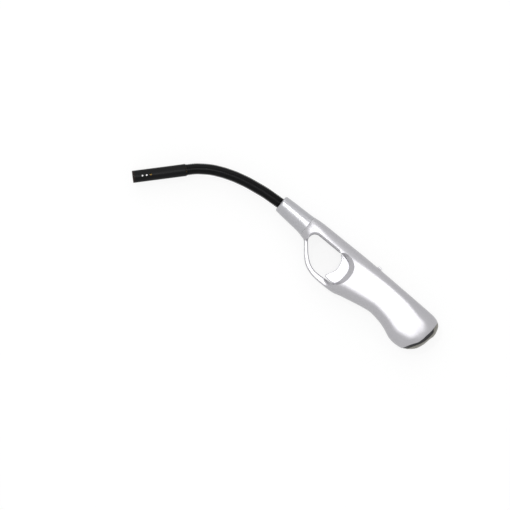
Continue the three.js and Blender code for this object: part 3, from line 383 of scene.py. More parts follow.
def add_node(tree, kind, inputs=None, **settings):
    """Adds one node with its settings; each input gets a value or a link."""
    made = tree.nodes.new(kind)
    for name, value in settings.items():
        setattr(made, name, value)
    for name, value in (inputs or {}).items():
        if isinstance(value, bpy.types.NodeSocket):
            tree.links.new(value, made.inputs[name])
        else:
            made.inputs[name].default_value = value
    return made


def new_finish(name, **shader_values):
    """Material with one Principled shader, and the object's own place in millimetres for its patterns."""
    material = bpy.data.materials.new(name)
    material.use_nodes = True
    tree = material.node_tree
    shader = tree.nodes["Principled BSDF"]
    for key, value in shader_values.items():
        shader.inputs[key.replace("_", " ")].default_value = value
    coordinates = add_node(tree, "ShaderNodeTexCoord")
    place_mm = add_node(tree, "ShaderNodeMapping", {"Vector": coordinates.outputs["Object"]})
    place_mm.inputs["Scale"].default_value = (1 / MM,) * 3
    return material, tree, shader, place_mm.outputs["Vector"]


def ranged(tree, value, low, high):
    """A 0 to 1 value stretched to a range."""
    made = add_node(tree, "ShaderNodeMapRange", {"Value": value, "To Min": low, "To Max": high})
    return made.outputs["Result"]


def speckled(tree, shader, place_mm, size, tones, roughness, detail=3.0):
    """Base colour that wavers between two near tones over spots of a size in millimetres, and roughness that
    wavers with it. Gives the spots and the colour."""
    noise = add_node(tree, "ShaderNodeTexNoise", {"Vector": place_mm, "Scale": 1 / size, "Detail": detail})
    ramp = add_node(tree, "ShaderNodeValToRGB", {"Fac": noise.outputs["Fac"]})
    for stop, position, tone in zip(ramp.color_ramp.elements, (0.35, 0.65), tones):
        stop.position, stop.color = position, linear(tone)
    tree.links.new(ramp.outputs["Color"], shader.inputs["Base Color"])
    tree.links.new(ranged(tree, noise.outputs["Fac"], *roughness), shader.inputs["Roughness"])
    return noise.outputs["Fac"], ramp.outputs["Color"]


def bumped(tree, shader, height, strength, depth_mm):
    bump = add_node(tree, "ShaderNodeBump",
                    {"Height": height, "Strength": strength, "Distance": depth_mm * MM})
    tree.links.new(bump.outputs["Normal"], shader.inputs["Normal"])


def silver_lacquer():
    """Silver metallic lacquer sprayed on moulded ABS: fine flake, a soft sheen, slight orange peel."""
    material, tree, shader, place_mm = new_finish("silver_lacquer_on_abs", Metallic=0.8)
    speckled(tree, shader, place_mm, 0.28, ("#a9a8ab", "#b8b7bb"), (0.34, 0.42), 2.0)
    peel = add_node(tree, "ShaderNodeTexNoise", {"Vector": place_mm, "Scale": 1 / 1.6, "Detail": 2.0})
    bumped(tree, shader, peel.outputs["Fac"], 0.25, 0.02)
    return material


def nose_chrome():
    """Zinc die casting with satin chrome: cooler, denser silver with a faint lengthwise polish."""
    material, tree, shader, place_mm = new_finish("satin_chrome_on_zinc", Metallic=0.85)
    stretched = add_node(tree, "ShaderNodeMapping", {"Vector": place_mm, "Scale": (0.25, 2.4, 2.4)})
    polish, _ = speckled(tree, shader, stretched.outputs["Vector"], 0.5, ("#a8a8ab", "#b6b6ba"), (0.26, 0.36))
    bumped(tree, shader, polish, 0.15, 0.01)
    return material


def black_gloss():
    """Gloss black PVC dipped over the steel goosewire: smooth, with faint dust and rub marks on the ribs."""
    material, tree, shader, place_mm = new_finish("gloss_black_pvc_dip", Specular_IOR_Level=0.14)
    rub, _ = speckled(tree, shader, place_mm, 1.4, ("#050506", "#0a0a0c"), (0.1, 0.18))
    bumped(tree, shader, rub, 0.12, 0.02)
    return material


def heat_black():
    """Black heat-proof paint on thin steel tube, browned by the flame just at its rim."""
    material, tree, shader, place_mm = new_finish("heat_black_paint_on_steel", Specular_IOR_Level=0.12)
    grain, colour = speckled(tree, shader, place_mm, 0.5, ("#060607", "#0c0c0e"), (0.3, 0.46))
    tip = add_node(tree, "ShaderNodeVectorMath",
                   {0: place_mm, 1: tuple(c / MM for c in NOZZLE_TIP)}, operation="DISTANCE")
    burnt = add_node(tree, "ShaderNodeMapRange", {
        "Value": tip.outputs["Value"], "From Min": 4.6, "From Max": 5.1, "To Min": 1.0, "To Max": 0.0})
    patches = add_node(tree, "ShaderNodeTexNoise", {"Vector": place_mm, "Scale": 0.8, "Detail": 3.0})
    share = add_node(tree, "ShaderNodeMath", {0: burnt.outputs["Result"], 1: patches.outputs["Fac"]},
                     operation="MULTIPLY")
    mixed = add_node(tree, "ShaderNodeMix", {"Factor": share.outputs["Value"]}, data_type="RGBA")
    tree.links.new(colour, mixed.inputs[6])
    mixed.inputs[7].default_value = linear("#33251f")
    tree.links.new(mixed.outputs[2], shader.inputs["Base Color"])
    bumped(tree, shader, grain, 0.2, 0.015)
    return material


def turned_brass():
    """Free-cutting brass turned on a lathe: warm, fine tool rings, slightly tarnished."""
    material, tree, shader, place_mm = new_finish("turned_brass", Metallic=1.0)
    grain, _ = speckled(tree, shader, place_mm, 0.7, ("#a17c38", "#c8a35c"), (0.2, 0.38))
    bumped(tree, shader, grain, 0.2, 0.01)
    return material


def zinc_steel():
    """Zinc-plated steel wire and screws: bluish grey, slightly cloudy."""
    material, tree, shader, place_mm = new_finish("zinc_plated_steel", Metallic=1.0)
    speckled(tree, shader, place_mm, 0.6, ("#8b8f94", "#b3b6ba"), (0.22, 0.4))
    return material


def moulded(name, dark, light, rough, depth, **values):
    """Injection-moulded plastic: near-even colour with the mould's fine spark-eroded grain."""
    material, tree, shader, place_mm = new_finish(name, IOR=1.49, **values)
    grain, _ = speckled(tree, shader, place_mm, 0.35, (dark, light), (rough - 0.06, rough + 0.06))
    bumped(tree, shader, grain, 0.3, depth)
    return material


# Handle: two moulded halves round the trigger's window, the collar in front and the cap behind

SLOPE_STEPS = 8


def lip_height(share):
    """Height of the scoop's lip along the back of the window; it fades out at both ends."""
    return HALF_THICKNESS - (HALF_THICKNESS - SCOOP_LIP) * eased(min(share, 1 - share) / 0.15)


REAR_EDGE = evened(smooth(WINDOW_REAR + [(62.4, -24.0)], 60), 61, closed=False)
SCOOP_EDGE = evened(smooth(SCOOP_RIM + [(62.0, -24.9)], 60), 61, closed=False)


def window_height(x, y):
    """Height of the skin round the window, lower where the scoop meets it."""
    near = min(range(len(REAR_EDGE)), key=lambda i: math.dist(REAR_EDGE[i], (x, y)))
    if math.dist(REAR_EDGE[near], (x, y)) > 1.0:
        return skin_height(x, y)
    return min(skin_height(x, y), lip_height(near / (len(REAR_EDGE) - 1)))


def window_cutter():
    """Cutter for the trigger's window. Its edges are rounded, most of all along the top."""
    outline = evened(smooth(WINDOW_FRONT, 24) + smooth(WINDOW_REAR, 42) + smooth(WINDOW_FLOOR, 24), 180)
    outline = softened(outline, 4)

    def rounding(i):
        x, y = outline[i]
        if x > 57.5 and y > -24:
            return 0.35
        along_top = eased((y + 9) / 5) * eased((58 - x) / 3)
        return 0.95 + 1.5 * along_top

    return flared_prism(outline, window_height, rounding)


def scoop_cutter(side):
    """Hollow from the flat side down to the lip behind the trigger."""
    def point(ring, step):
        share = ring / (len(REAR_EDGE) - 1)
        inner, outer = Vector(REAR_EDGE[ring]), Vector(SCOOP_EDGE[ring])
        lip = lip_height(share)
        past = inner - (outer - inner).normalized() * 1.2
        if step <= SLOPE_STEPS:
            t = step / SLOPE_STEPS
            flat = inner.lerp(outer, t)
            z = lip + (HALF_THICKNESS + 0.03 - lip) * t
        else:
            flat, z = ((outer, BEYOND), (past, BEYOND), (past, lip))[step - SLOPE_STEPS - 1]
        return Vector((flat.x, flat.y, side * z))

    return wrapped(len(REAR_EDGE), SLOPE_STEPS + 4, point)


def scoop_backing():
    """Thicker wall behind the scoop on both sides, kept clear of the trigger."""
    (low_x, high_x), (low_y, high_y) = ((min(c), max(c)) for c in zip(*SCOOP_RIM))
    near, far = TRIGGER_HALF_WIDTH + CLEARANCE, HALF_THICKNESS
    return [box(low_x - WALL, high_x + 2 * WALL, low_y - WALL, high_y + 2 * WALL, *heights)
            for heights in ((near, far), (-far, -near))]


def trigger_room():
    """Room under the scoop's lips for the trigger's head as it slides back."""
    back = smooth(TRIGGER_BACK, 24)
    middle = -12.5
    swept = [(x + TRIGGER_TRAVEL + CLEARANCE, y + math.copysign(CLEARANCE, y - middle)) for x, y in back]
    side = TRIGGER_HALF_WIDTH + CLEARANCE
    return prism([(60, swept[0][1])] + swept + [(60, swept[-1][1])], -side, side)


def seam_groove(x0, x1):
    """Fine V groove round the handle where its two halves meet."""
    depth, half_width = 0.3, 0.28
    steps = 150
    upper = [(x0 + (x1 - x0) * k / steps, 1) for k in range(steps + 1)]
    walk = upper + [(x, -1) for x, _ in reversed(upper)] + upper[:1]

    def point(ring, step):
        x, sign = walk[ring]
        edge = at(TOP_EDGE if sign > 0 else LOWER_EDGE, x)
        reach, z = ((-depth, 0), (1.2, -half_width * 5), (1.2, half_width * 5))[step]
        return Vector((x, edge + sign * reach, z))

    return wrapped(len(walk), 3, point)


def behind(edge, shift=0.0):
    """Side-view outline of all that lies behind an edge."""
    line = [(x + shift, y) for x, y in smooth(edge, 36)]
    return [*line, (HANDLE_LENGTH + BEYOND, line[-1][1]), (HANDLE_LENGTH + BEYOND, line[0][1])]


# Each screw's x, y and the depth of its head's seat
SCREWS = [(FERRULE_LENGTH + 3.6, -7.0, 5.4), (86, -20.6, 5.4), (113.3, -20.2, 5.2)]
CATCH_X = 87.9
ADJUSTER_X = 106.5
FILLER_Y = -11
SCREW_WELL_RADIUS = 2.5
SCREW_BOSS_RADIUS = 3.1
SCREW_BORE_RADIUS = 1.3


def right_side_openings():
    """Screw wells and the slot of the flame adjuster, all on the right side."""
    wells = [rod((x, y, -seat), (x, y, -BEYOND), SCREW_WELL_RADIUS) for x, y, seat in SCREWS]
    rims = [rod((x, y, -skin_height(x, y) + 0.45), (x, y, -skin_height(x, y) - 0.6), 2.45, end_radius=3.55)
            for x, y, _ in SCREWS]
    adjuster_slot = box(ADJUSTER_X - 0.6, ADJUSTER_X + 3.2, -7.4, 1.7, -BEYOND, -5)
    return [*wells, *rims, adjuster_slot]


def handle_shells(lacquer):
    """The two moulded halves, cut from one hollow form."""
    outside = handle_form(FERRULE_LENGTH, HANDLE_LENGTH, 0, 170, 160)
    cavity = combined(handle_form(FERRULE_LENGTH - 1, HANDLE_LENGTH - WALL, WALL, 60, 64),
                      [prism(SOLID_ROUND_WINDOW, -BEYOND, BEYOND)])
    whole = combined(outside, [cavity])
    core = handle_form(FERRULE_LENGTH + 0.3, HANDLE_LENGTH - 3, WALL / 2, 60, 64)
    thick_parts = [rod((x, y, -12), (x, y, 12), SCREW_BOSS_RADIUS) for x, y, _ in SCREWS] + scoop_backing()
    thickened = combined(thick_parts[0], thick_parts[1:], "UNION")
    whole = combined(whole, [combined(thickened, [core], "INTERSECT")], "UNION")
    catch_slot = box(CATCH_X - 4.8, CATCH_X + 1.8, 3, BEYOND, -1.5, 1.5)
    slit = behind(SLIT_INNER)
    slit_cutter = flared_prism(slit, skin_height, lambda i: 0.22 if slit[i][1] < SLIT_TOP else 0.04)
    bores = [rod((x, y, -BEYOND), (x, y, 5.1), SCREW_BORE_RADIUS, 20) for x, y, _ in SCREWS]
    whole = combined(whole, [window_cutter(), scoop_cutter(1), scoop_cutter(-1), trigger_room(), catch_slot,
                             slit_cutter, seam_groove(FERRULE_LENGTH - 0.5, HANDLE_LENGTH - 5), *bores,
                             *right_side_openings()])
    for name, side in (("left", 1), ("right", -1)):
        low, high = sorted((side * 0.05, side * BEYOND))
        half = combined(whole.copy(), [box(0, 200, -BEYOND * 2, BEYOND * 2, low, high)], "INTERSECT")
        piece(half, f"handle_half_{name}", lacquer, "handle", [f"{name}_shell"], "silver_shell")
    whole.free()


def rounded_run(x0, x1, inset, front, back, between):
    """(x, inset) of rings along a form whose front and back edges are rounded."""
    turns = [math.radians(90 - 90 * k / 8) for k in range(9)]
    rise = [(x0 + front * (1 - math.cos(math.pi / 2 - a)), inset + front * (1 - math.cos(a))) for a in turns]
    fall = [(x1 - back * (1 - math.cos(math.pi / 2 - a)), inset + back * (1 - math.cos(a)))
            for a in reversed(turns)]
    start, end = rise[-1][0], fall[0][0]
    middle = [(start + (end - start) * k / between, inset) for k in range(1, between)]
    return rise + middle + fall


NECK_Y = -0.8
COLLAR_FRONT = -0.8


def nose_collar(chrome):
    """Tapered collar in front of the shells, with a rounded mouth for the neck."""
    run = rounded_run(COLLAR_FRONT, FERRULE_LENGTH - SEAM, FERRULE_STEP, 1.5, 0.25, 30)
    outside = wrapped(len(run), 128, lambda ring, step: section_point(run[ring][0], step / 128, run[ring][1]))
    inside = handle_form(2.5, FERRULE_LENGTH + 2, FERRULE_STEP + 1.6, 20, 64)
    mouth = rod((-3, NECK_Y, 0), (2.8, NECK_Y, 0), 4.3, 64)
    rim = rod((-1.4, NECK_Y, 0), (-0.3, NECK_Y, 0), 5.2, 64, 4.25)
    collar = combined(outside, [inside, mouth, rim])
    piece(collar, "nose_collar", chrome, "handle", ["nose_ferrule"], "nose_metal")


# Where the forms of the cap, of the plug in the slit and of its root start
CAP_FROM, SLIT_FROM, ROOT_FROM = 117.3, 134, 143.9
PLUG_END = HANDLE_LENGTH - 0.9


def filler_openings():
    """Well and bore for the filler valve in the butt."""
    past_butt = (HANDLE_LENGTH + 5, FILLER_Y, 0)
    return [rod((HANDLE_LENGTH - 4.2, FILLER_Y, 0), past_butt, 4.1, 64),
            rod((100, FILLER_Y, 0), past_butt, 2.8, 40)]


def butt_cap(cap_finish, black):
    """Cap on the butt, and the dark plug that shows in the slit ahead of it."""
    cap = combined(handle_form(CAP_FROM, HANDLE_LENGTH, 0, 90, 160),
                   [prism(behind(SLIT_OUTER), -BEYOND, BEYOND)], "INTERSECT")
    piece(combined(cap, filler_openings()), "butt_cap", cap_finish, "handle", ["end_cap"], "silver_shell")
    seen = combined(handle_form(SLIT_FROM, PLUG_END, 0.25, 40, 128),
                    [prism(behind(SLIT_INNER, 0.1), -BEYOND, BEYOND)], "INTERSECT")
    root = combined(handle_form(ROOT_FROM, PLUG_END, WALL + CLEARANCE, 24, 96),
                    [box(ROOT_FROM, HANDLE_LENGTH, -BEYOND, 3, -BEYOND, BEYOND)], "INTERSECT")
    room_for_cap = prism(behind(SLIT_OUTER, -0.15), -BEYOND, BEYOND)
    plug = combined(combined(root, [seen], "UNION"), [room_for_cap, *filler_openings()])
    piece(plug, "butt_plug", black, "handle", ["end_plug"], "black_plastic")


def trigger(finish):
    """Finger lever with softened edges and a front that is hollow from side to side."""
    outline = softened(evened(smooth(TRIGGER_FRONT, 40) + smooth(TRIGGER_BACK, 60), 150), 8)
    normals = side_normals(outline)
    edge = 0.45
    turns = [math.radians(90 * k / 6) for k in range(7)]
    rise = [(-TRIGGER_HALF_WIDTH + edge * (1 - math.sin(a)), edge * (1 - math.cos(a)))
            for a in reversed(turns)]
    straight = 2 * TRIGGER_HALF_WIDTH - 2 * edge
    middle = [(-TRIGGER_HALF_WIDTH + edge + straight * k / 14, 0) for k in range(1, 14)]
    levels = rise + middle + [(-z, inset) for z, inset in reversed(rise)]

    def point(ring, i):
        z, inset = levels[ring]
        hollow = 1.1 * (1 - (z / TRIGGER_HALF_WIDTH) ** 2) * max(-normals[i][0], 0) ** 2
        x = outline[i][0] - normals[i][0] * inset + hollow
        return Vector((x, outline[i][1] - normals[i][1] * inset, z))

    head = wrapped(len(levels), len(outline), point)
    tang = box(66, 82.7, -16, -7, -4, 4)
    arm = box(66, 101, -17.9, -15.4, 5.5, 7.2)
    whole = combined(head, [tang, arm], "UNION")
    piece(whole, "trigger_lever", finish, "trigger", ["trigger"], "trigger_grey")


def safety_pad(finish):
    """Thumb pad with three grip ridges, on a stem that passes its slot."""
    surface = at(TOP_EDGE, CATCH_X)
    half, base, top = 1.9, surface + 0.3, surface + 1.5
    profile = [(-half, base), (-half + 0.5, top - 0.25), (-half + 0.9, top - 0.1)]
    for k in range(3):
        ridge = 0.7 * k - 0.7
        profile += [(ridge - 0.24, top - 0.3), (ridge - 0.1, top), (ridge + 0.1, top),
                    (ridge + 0.24, top - 0.3)]
    profile += [(half - 0.9, top - 0.1), (half - 0.5, top - 0.25), (half, base)]
    outline = [(CATCH_X + x, y) for x, y in profile]
    pad = prism(outline, -3, 3)
    bmesh.ops.bevel(pad, geom=[e for e in pad.edges if abs(e.verts[0].co.z - e.verts[1].co.z) < 0.01],
                    offset=0.12, segments=2, profile=0.5, affect="EDGES", material=-1)
    stem = box(CATCH_X - 1.5, CATCH_X + 1.5, surface - 3.5, surface + 0.7, -1.2, 1.2)
    foot = box(CATCH_X - 2.2, CATCH_X + 2.2, surface - 3.5, surface - 2.1, -2.4, 2.4)
    whole = combined(pad, [stem, foot], "UNION")
    piece(whole, "safety_pad", finish, "safety_catch", ["safety_catch"], "trigger_grey")


# Gooseneck: ribbed skin over the links, each stretch curved round one joint

RIB_PITCH = 1.5
RIB_COUNT = 52
BEND_RIBS = [10, 20, 27, 33, 38, 41, 46, 48]
SWAY_RIBS = [3, 7, 15, 24, 30, 36]
BEND_STEP = 5.35
NECK_RADIUS = 4.2
RIB_DEPTH = 0.45
NECK_BORE_RADIUS = 2.3
GROOVE_HALF_WIDTH = 0.26
NECK_HEADING = 3.1


def neck_pose(ribs):
    """Place and heading on the links' centre line, counted in ribs from the nose face."""
    x, y, heading, done = 0.0, NECK_Y, NECK_HEADING, 0.0
    for bend in [*BEND_RIBS, math.inf]:
        run = (min(bend, ribs) - done) * RIB_PITCH
        x -= run * math.cos(math.radians(heading))
        y -= run * math.sin(math.radians(heading))
        if ribs <= bend:
            break
        heading += BEND_STEP
        done = bend
    return Vector((x, y, 0)), math.radians(heading)


JOINT_RIBS = sorted(BEND_RIBS + SWAY_RIBS)
LINK_ENDS = [0, *JOINT_RIBS, RIB_COUNT]
LINK_MIDDLES = [(a + b) / 2 for a, b in zip(LINK_ENDS, LINK_ENDS[1:])]


def curve_between(start, joint, end, steps):
    """Even steps on the curve that rounds off a joint, from one link's middle to the next one's."""
    a, b, c = neck_pose(start)[0], neck_pose(joint)[0], neck_pose(end)[0]
    fine = [tuple(a * (1 - t) ** 2 + b * 2 * t * (1 - t) + c * t * t) for t in (k / 80 for k in range(81))]
    return [Vector(p) for p in evened(fine, steps + 1, closed=False)]


def neck_stretches(steps_per_rib, ribs_before, ribs_after):
    """For each joint: (index, [(rib, place)] along its curve). The first and last run on straight."""
    made = []
    for k, joint in enumerate(JOINT_RIBS):
        start, end = LINK_MIDDLES[k], LINK_MIDDLES[k + 1]
        steps = max(round((end - start) * steps_per_rib), 4)
        line = curve_between(start, joint, end, steps)
        run = [(start + (end - start) * i / steps, p) for i, p in enumerate(line)]
        if k == 0:
            count = round((start + ribs_before) * steps_per_rib)
            ribs = [-ribs_before + (start + ribs_before) * i / count for i in range(count)]
            run = [(rib, neck_pose(rib)[0]) for rib in ribs] + run
        if k == len(JOINT_RIBS) - 1:
            last = RIB_COUNT + ribs_after
            count = round((last - end) * steps_per_rib)
            ribs = [end + (last - end) * (i + 1) / count for i in range(count)]
            run += [(rib, neck_pose(rib)[0]) for rib in ribs]
        made.append((k, run))
    return made


def tube_along(run, outer, inner, around, offset=0.0):
    """Tube round a run of (rib, place). outer and inner give its radii at a rib, offset is towards the top
    edge."""
    frames = []
    for i, (rib, spot) in enumerate(run):
        heading = (run[min(i + 1, len(run) - 1)][1] - run[max(i - 1, 0)][1]).normalized()
        up = Vector((-heading.y, heading.x, 0))
        up = up if up.y > 0 else -up
        frames.append((rib, spot + up * offset, up))
    walk = [(f, outer) for f in frames]
    if inner:
        walk += [(f, inner) for f in reversed(frames)] + [(frames[0], outer)]

    def point(ring, step):
        (rib, spot, up), radius = walk[ring]
        turn = step / around * 2 * math.pi
        return spot + (up * math.cos(turn) + Vector((0, 0, 1)) * math.sin(turn)) * radius(rib)

    return wrapped(len(walk), around, point)


def bend_across(obj, k):
    """Bakes the stretch's place into its mesh; the places of the link middles it runs between are worked out
    but not used.
    """
    ends = [place(*neck_pose(LINK_MIDDLES[j])[0]) for j in (k, k + 1)]
    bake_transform(obj)


def gooseneck(black):
    """Ribbed skin in one stretch per joint. Each stands for the link it starts on, the last for two."""
    def ribbed(rib):
        if rib < 0:
            return NECK_RADIUS - RIB_DEPTH
        from_groove = min(abs(rib - round(rib)) / GROOVE_HALF_WIDTH, 1)
        return NECK_RADIUS - RIB_DEPTH * (1 - eased(from_groove))

    for k, run in neck_stretches(10, 4, -0.02):
        bm = tube_along(run, ribbed, lambda rib: NECK_BORE_RADIUS, 48)
        obj = piece(bm, f"neck_skin_{k + 1:02d}", black, None, slot="neck_black", crease=60)
        bend_across(obj, k)
        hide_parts(f"neck_link_{k + 1:02d}", *([f"neck_link_{k + 2:02d}"] if k == 13 else []))


def wire_along(path, radius, around=16):
    """Round wire or hose along a line of points."""
    path = [Vector(p) for p in path]

    def point(ring, step):
        ahead = (path[min(ring + 1, len(path) - 1)] - path[max(ring - 1, 0)]).normalized()
        side = ahead.cross(Vector((0, 0, 1))).normalized()
        turn = step / around * 2 * math.pi
        return path[ring] + (side * math.cos(turn) + side.cross(ahead) * math.sin(turn)) * radius

    return wrapped(len(path), around, point)


STEPS_PER_TURN = 24
CLOSED_TURN = 0.75


def coil_spring(node, steel, wire, turns):
    """Compression spring in its node's place, with closed end turns."""
    low, high = (FROM_HANDLE.inverted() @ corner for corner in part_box(node))
    radius = (high.y - low.y) / 2 - wire
    middle_y = (low.y + high.y) / 2
    x0, x1 = low.x + wire, high.x - wire
    climb = 1.2 * wire
    open_turns = turns - 2 * CLOSED_TURN

    def centre(k):
        turn = k / STEPS_PER_TURN
        ends = (min(turn, CLOSED_TURN) + max(turn - turns + CLOSED_TURN, 0)) / CLOSED_TURN
        body = min(max(turn - CLOSED_TURN, 0), open_turns) / open_turns
        angle = 2 * math.pi * turn
        return (x0 + climb * ends + (x1 - x0 - 2 * climb) * body, middle_y + radius * math.cos(angle),
                radius * math.sin(angle))

    path = [centre(k) for k in range(STEPS_PER_TURN * turns + 1)]
    obj = piece(wire_along(path, wire, 10), f"{node}_coil", steel, "handle", [node], "steel", 60)
    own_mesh(obj)


GAS_LINE_RADIUS, GAS_LINE_OFFSET = 1.0, -0.95
LEAD_RADIUS, LEAD_OFFSET = 0.6, 1.25


def lines_in_neck(tube_finish, lead_finish):
    """Gas line and ignition lead: cut at the links' middles, each stretch following the same curve as the
    skin round it.
    """
    for node, radius, offset, finish, slot in (
            ("gas_line", GAS_LINE_RADIUS, GAS_LINE_OFFSET, tube_finish, "black_plastic"),
            ("ignition_lead", LEAD_RADIUS, LEAD_OFFSET, lead_finish, "lead_red")):
        for k, run in neck_stretches(2, 12, 3):
            obj = piece(tube_along(run, lambda rib: radius, None, 16, offset), f"{node}_neck_{k + 1:02d}",
                        finish, None, slot=slot, crease=60)
            bend_across(obj, k)


def lines_in_handle(tube_finish, lead_finish):
    """Gas line from the valve stem and ignition lead from the piezo unit to the neck."""
    gas = [(98, 0, 0), (95, 0, 0), (91.6, 0, 0), (87, 1, -0.4), (81, 2.2, -1), (72, 3.3, -1.3),
           (60, 3.5, -1.3), (48, 3.2, -1.2), (38, 2.2, -1), (30, 0.2, -0.6), (24, -0.4, -0.1), (18, -0.81, 0)]
    lead = [(91.5, -5.55, 0), (89, -5.55, 0.8), (85, -3.6, 2.1), (80, 0.6, 2.4), (75, 2.9, 1.9),
            (66, 3.6, 1.4), (52, 3.6, 1.4), (40, 3.4, 1.3), (31, 2.6, 0.7), (24, 1.9, 0.1), (18, 1.39, 0)]
    gas_wire, lead_wire = (wire_along(evened(smooth(points, 160), 110, closed=False), radius)
                           for points, radius in ((gas, GAS_LINE_RADIUS), (lead, LEAD_RADIUS)))
    hose = piece(gas_wire, "gas_line_in_handle", tube_finish, None, ["gas_line"], "black_plastic", 60)
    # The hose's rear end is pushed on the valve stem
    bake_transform(hose)
    piece(lead_wire, "ignition_lead_in_handle", lead_finish, "handle", ["ignition_lead"], "lead_red", 60)


# Nozzle: drilled black tube with a rolled rear collar; the brass burner shows through its holes

NOZZLE_LENGTH = 40.5
NOZZLE_RADIUS = 4.6
NOZZLE_WALL = 0.5
NOZZLE_ROUNDING = 0.45
AIR_HOLE_FROM_TIP, AIR_HOLE_SPACING, AIR_HOLE_RADIUS = 7.5, 3.2, 0.7
NECK_END, NOZZLE_HEADING = neck_pose(RIB_COUNT)
NOZZLE_AXIS = Vector((-math.cos(NOZZLE_HEADING), -math.sin(NOZZLE_HEADING), 0))
NOZZLE_TIP = place(*(NECK_END + NOZZLE_AXIS * NOZZLE_LENGTH))


def turned_on_nozzle(profile, around):
    """Ring turned about the nozzle's axis from [radius, distance from the neck] corners, closed on itself."""
    side = Vector((-NOZZLE_AXIS.y, NOZZLE_AXIS.x, 0))
    corners = [*profile, profile[0]]

    def point(ring, step):
        radius, distance = corners[ring]
        turn = step / around * 2 * math.pi
        spread = side * math.cos(turn) + Vector((0, 0, 1)) * math.sin(turn)
        return NECK_END + NOZZLE_AXIS * distance + spread * radius

    return wrapped(len(corners), around, point)


def on_nozzle(distance, z):
    return tuple(NECK_END + NOZZLE_AXIS * distance + Vector((0, 0, z)))


def nozzle(black):
    """Black sleeve with a rounded rear shoulder, a thin rim and three air holes across it."""
    outer, inner, throat = NOZZLE_RADIUS, NOZZLE_RADIUS - NOZZLE_WALL, 3.2
    rear = [(outer - NOZZLE_ROUNDING * (1 - math.sin(a)), NOZZLE_ROUNDING * (1 - math.cos(a)))
            for a in (math.radians(15 * k) for k in range(7))]
    body = [(outer, NOZZLE_ROUNDING + k * (NOZZLE_LENGTH - 0.75) / 30) for k in range(1, 31)]
    rim = [(outer - 0.1, NOZZLE_LENGTH - 0.08), (outer - 0.25, NOZZLE_LENGTH), (inner + 0.12, NOZZLE_LENGTH),
           (inner, NOZZLE_LENGTH - 0.12)]
    profile = [(throat, 0), *rear, *body, *rim, (inner, 0.6), (throat, 0.6)]
    places = [NOZZLE_LENGTH - AIR_HOLE_FROM_TIP - AIR_HOLE_SPACING * k for k in range(3)]
    holes = [rod(on_nozzle(along, -8), on_nozzle(along, 8), AIR_HOLE_RADIUS, 24) for along in places]
    tube = combined(turned_on_nozzle(profile, 64), holes)
    piece(tube, "nozzle_sleeve", black, "nozzle", ["nozzle_tube"], "nozzle_black")


# The object

silver = silver_lacquer()
chrome = nose_chrome()
dipped = black_gloss()
painted = heat_black()
brass = turned_brass()
zinc = zinc_steel()
trigger_silver = moulded("silver_pigmented_abs", "#bcbbc1", "#cfced3", 0.36, 0.006, Metallic=0.45)
# The cap's warm grey is set darker than the shell's silver: painted shade, standing in for the shade on the
# butt's rounded rim.
cap_grey_with_painted_shade = moulded("grey_cap_darkened_as_painted_shade", "#7b7972", "#86847d", 0.4, 0.008, Metallic=0.6)
black_abs = moulded("black_abs", "#111113", "#1b1b1e", 0.45, 0.01)
natural_pom = moulded("natural_acetal", "#dcd8cc", "#ebe7dc", 0.42, 0.008, Subsurface_Weight=0.08)
white_ceramic = moulded("white_alumina", "#dcd8cd", "#ece9e0", 0.5, 0.008)
black_hose = moulded("black_pvc_hose", "#161618", "#212124", 0.4, 0.01)
red_lead = moulded("red_pvc_lead", "#8f1c1a", "#a8241f", 0.35, 0.006)
smoked_tank = moulded("smoked_styrene_tank", "#4f5556", "#5d6465", 0.2, 0.002, Transmission_Weight=0.4)

handle_shells(silver)
nose_collar(chrome)
butt_cap(cap_grey_with_painted_shade, black_abs)
trigger(trigger_silver)
safety_pad(silver)
gooseneck(dipped)
lines_in_neck(black_hose, red_lead)
lines_in_handle(black_hose, red_lead)
nozzle(painted)
coil_spring("valve_spring", zinc, 0.28, 5)
coil_spring("piezo_spring", zinc, 0.35, 7)

NODE_FINISHES = {
    "valve_body": brass, "valve_stem": brass, "nozzle_holder": brass, "burner_jet": brass,
    "filler_body": brass, "filler_stem": brass, "piezo_contact": brass,
    "shell_screw_1": zinc, "shell_screw_2": zinc, "shell_screw_3": zinc, "lever_pin": zinc,
    "electrode": zinc, "neck_socket": zinc,
    "flame_adjuster": black_abs, "piezo_case": black_abs, "gas_lever": natural_pom,
    "piezo_plunger": natural_pom, "electrode_insulator": white_ceramic, "fuel_tank": smoked_tank,
}
for node_name, finish in NODE_FINISHES.items():
    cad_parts[node_name].data.materials.clear()
    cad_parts[node_name].data.materials.append(finish)


# Table, light and camera

def shows_white(tree):
    """1 for rays of the camera, gloss and glass, which see the surround as plain white, 0 for the rest."""
    ray = add_node(tree, "ShaderNodeLightPath").outputs
    shown = add_node(tree, "ShaderNodeMath", {0: ray["Is Camera Ray"], 1: ray["Is Glossy Ray"]},
                     operation="MAXIMUM")
    clear = add_node(tree, "ShaderNodeMath", {0: shown.outputs["Value"], 1: ray["Is Transmission Ray"]},
                     operation="MAXIMUM")
    return clear.outputs["Value"]


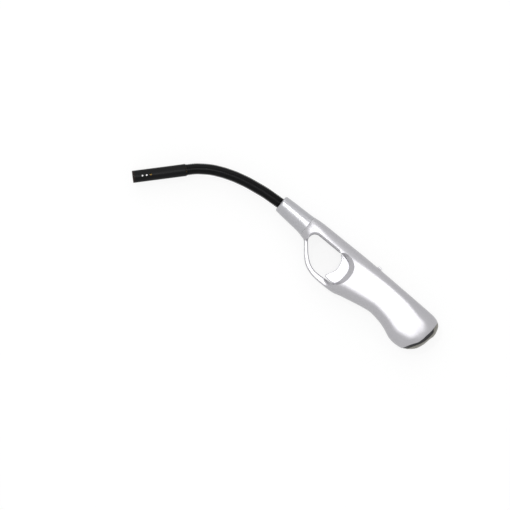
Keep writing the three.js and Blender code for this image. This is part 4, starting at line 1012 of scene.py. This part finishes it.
def white_surround():
    """Floor and world that show plain white to the camera, gloss and glass, and light the object evenly."""
    world = bpy.data.worlds.new("studio")
    bpy.context.scene.world = world
    world.use_nodes = True
    tree = world.node_tree
    background = tree.nodes["Background"]
    tree.links.new(ranged(tree, shows_white(tree), 0.7, 1.0), background.inputs["Strength"])
    background.inputs["Color"].default_value = (1, 1, 1, 1)

    bm = bmesh.new()
    bmesh.ops.create_grid(bm, x_segments=1, y_segments=1, size=3)
    floor = as_object(bm, "table")
    floor.location.z = -0.0002
    material = bpy.data.materials.new("white_table")
    material.use_nodes = True
    tree = material.node_tree
    tree.nodes.remove(tree.nodes["Principled BSDF"])
    paper = add_node(tree, "ShaderNodeBsdfDiffuse", {"Color": linear("#ffffff")})
    glow = add_node(tree, "ShaderNodeEmission", {"Color": linear("#ffffff"), "Strength": 1.0})
    share = add_node(tree, "ShaderNodeMath", {0: shows_white(tree), 1: 0.8}, operation="MULTIPLY")
    mixed = add_node(tree, "ShaderNodeMixShader", {0: share.outputs["Value"], 1: paper.outputs["BSDF"],
                                                   2: glow.outputs["Emission"]})
    tree.links.new(mixed.outputs["Shader"], tree.nodes["Material Output"].inputs["Surface"])
    floor.data.materials.append(material)


def lamp(name, spot, size, power):
    """Square lamp aimed at the object's middle."""
    data = bpy.data.lights.new(name, "AREA")
    data.size = size
    data.energy = power
    obj = bpy.data.objects.new(name, data)
    obj.location = spot
    obj.rotation_euler = (Vector((-0.06, -0.02, 0)) - Vector(spot)).to_track_quat("-Z", "Y").to_euler()
    bpy.context.scene.collection.objects.link(obj)


def camera():
    """Straight above the object, turned so that the neck points to the upper left, as in the photo."""
    data = bpy.data.cameras.new("camera")
    data.lens = 400
    data.sensor_width = 36
    obj = bpy.data.objects.new("camera", data)
    obj.location = (-0.0797, -0.0340, 0.011 + 4.25)
    obj.rotation_euler = (0, 0, math.radians(38.5))
    bpy.context.scene.collection.objects.link(obj)
    bpy.context.scene.camera = obj


white_surround()
lamp("overhead", (-0.06, -0.02, 5.0), 1.38, 48)
lamp("glint", (-2.0, 0.5, 5.0), 0.12, 24)
lamp("side", (-0.9, 0.9, 0.9), 1.2, 4)
camera()
bpy.context.scene.view_settings.view_transform = "Standard"
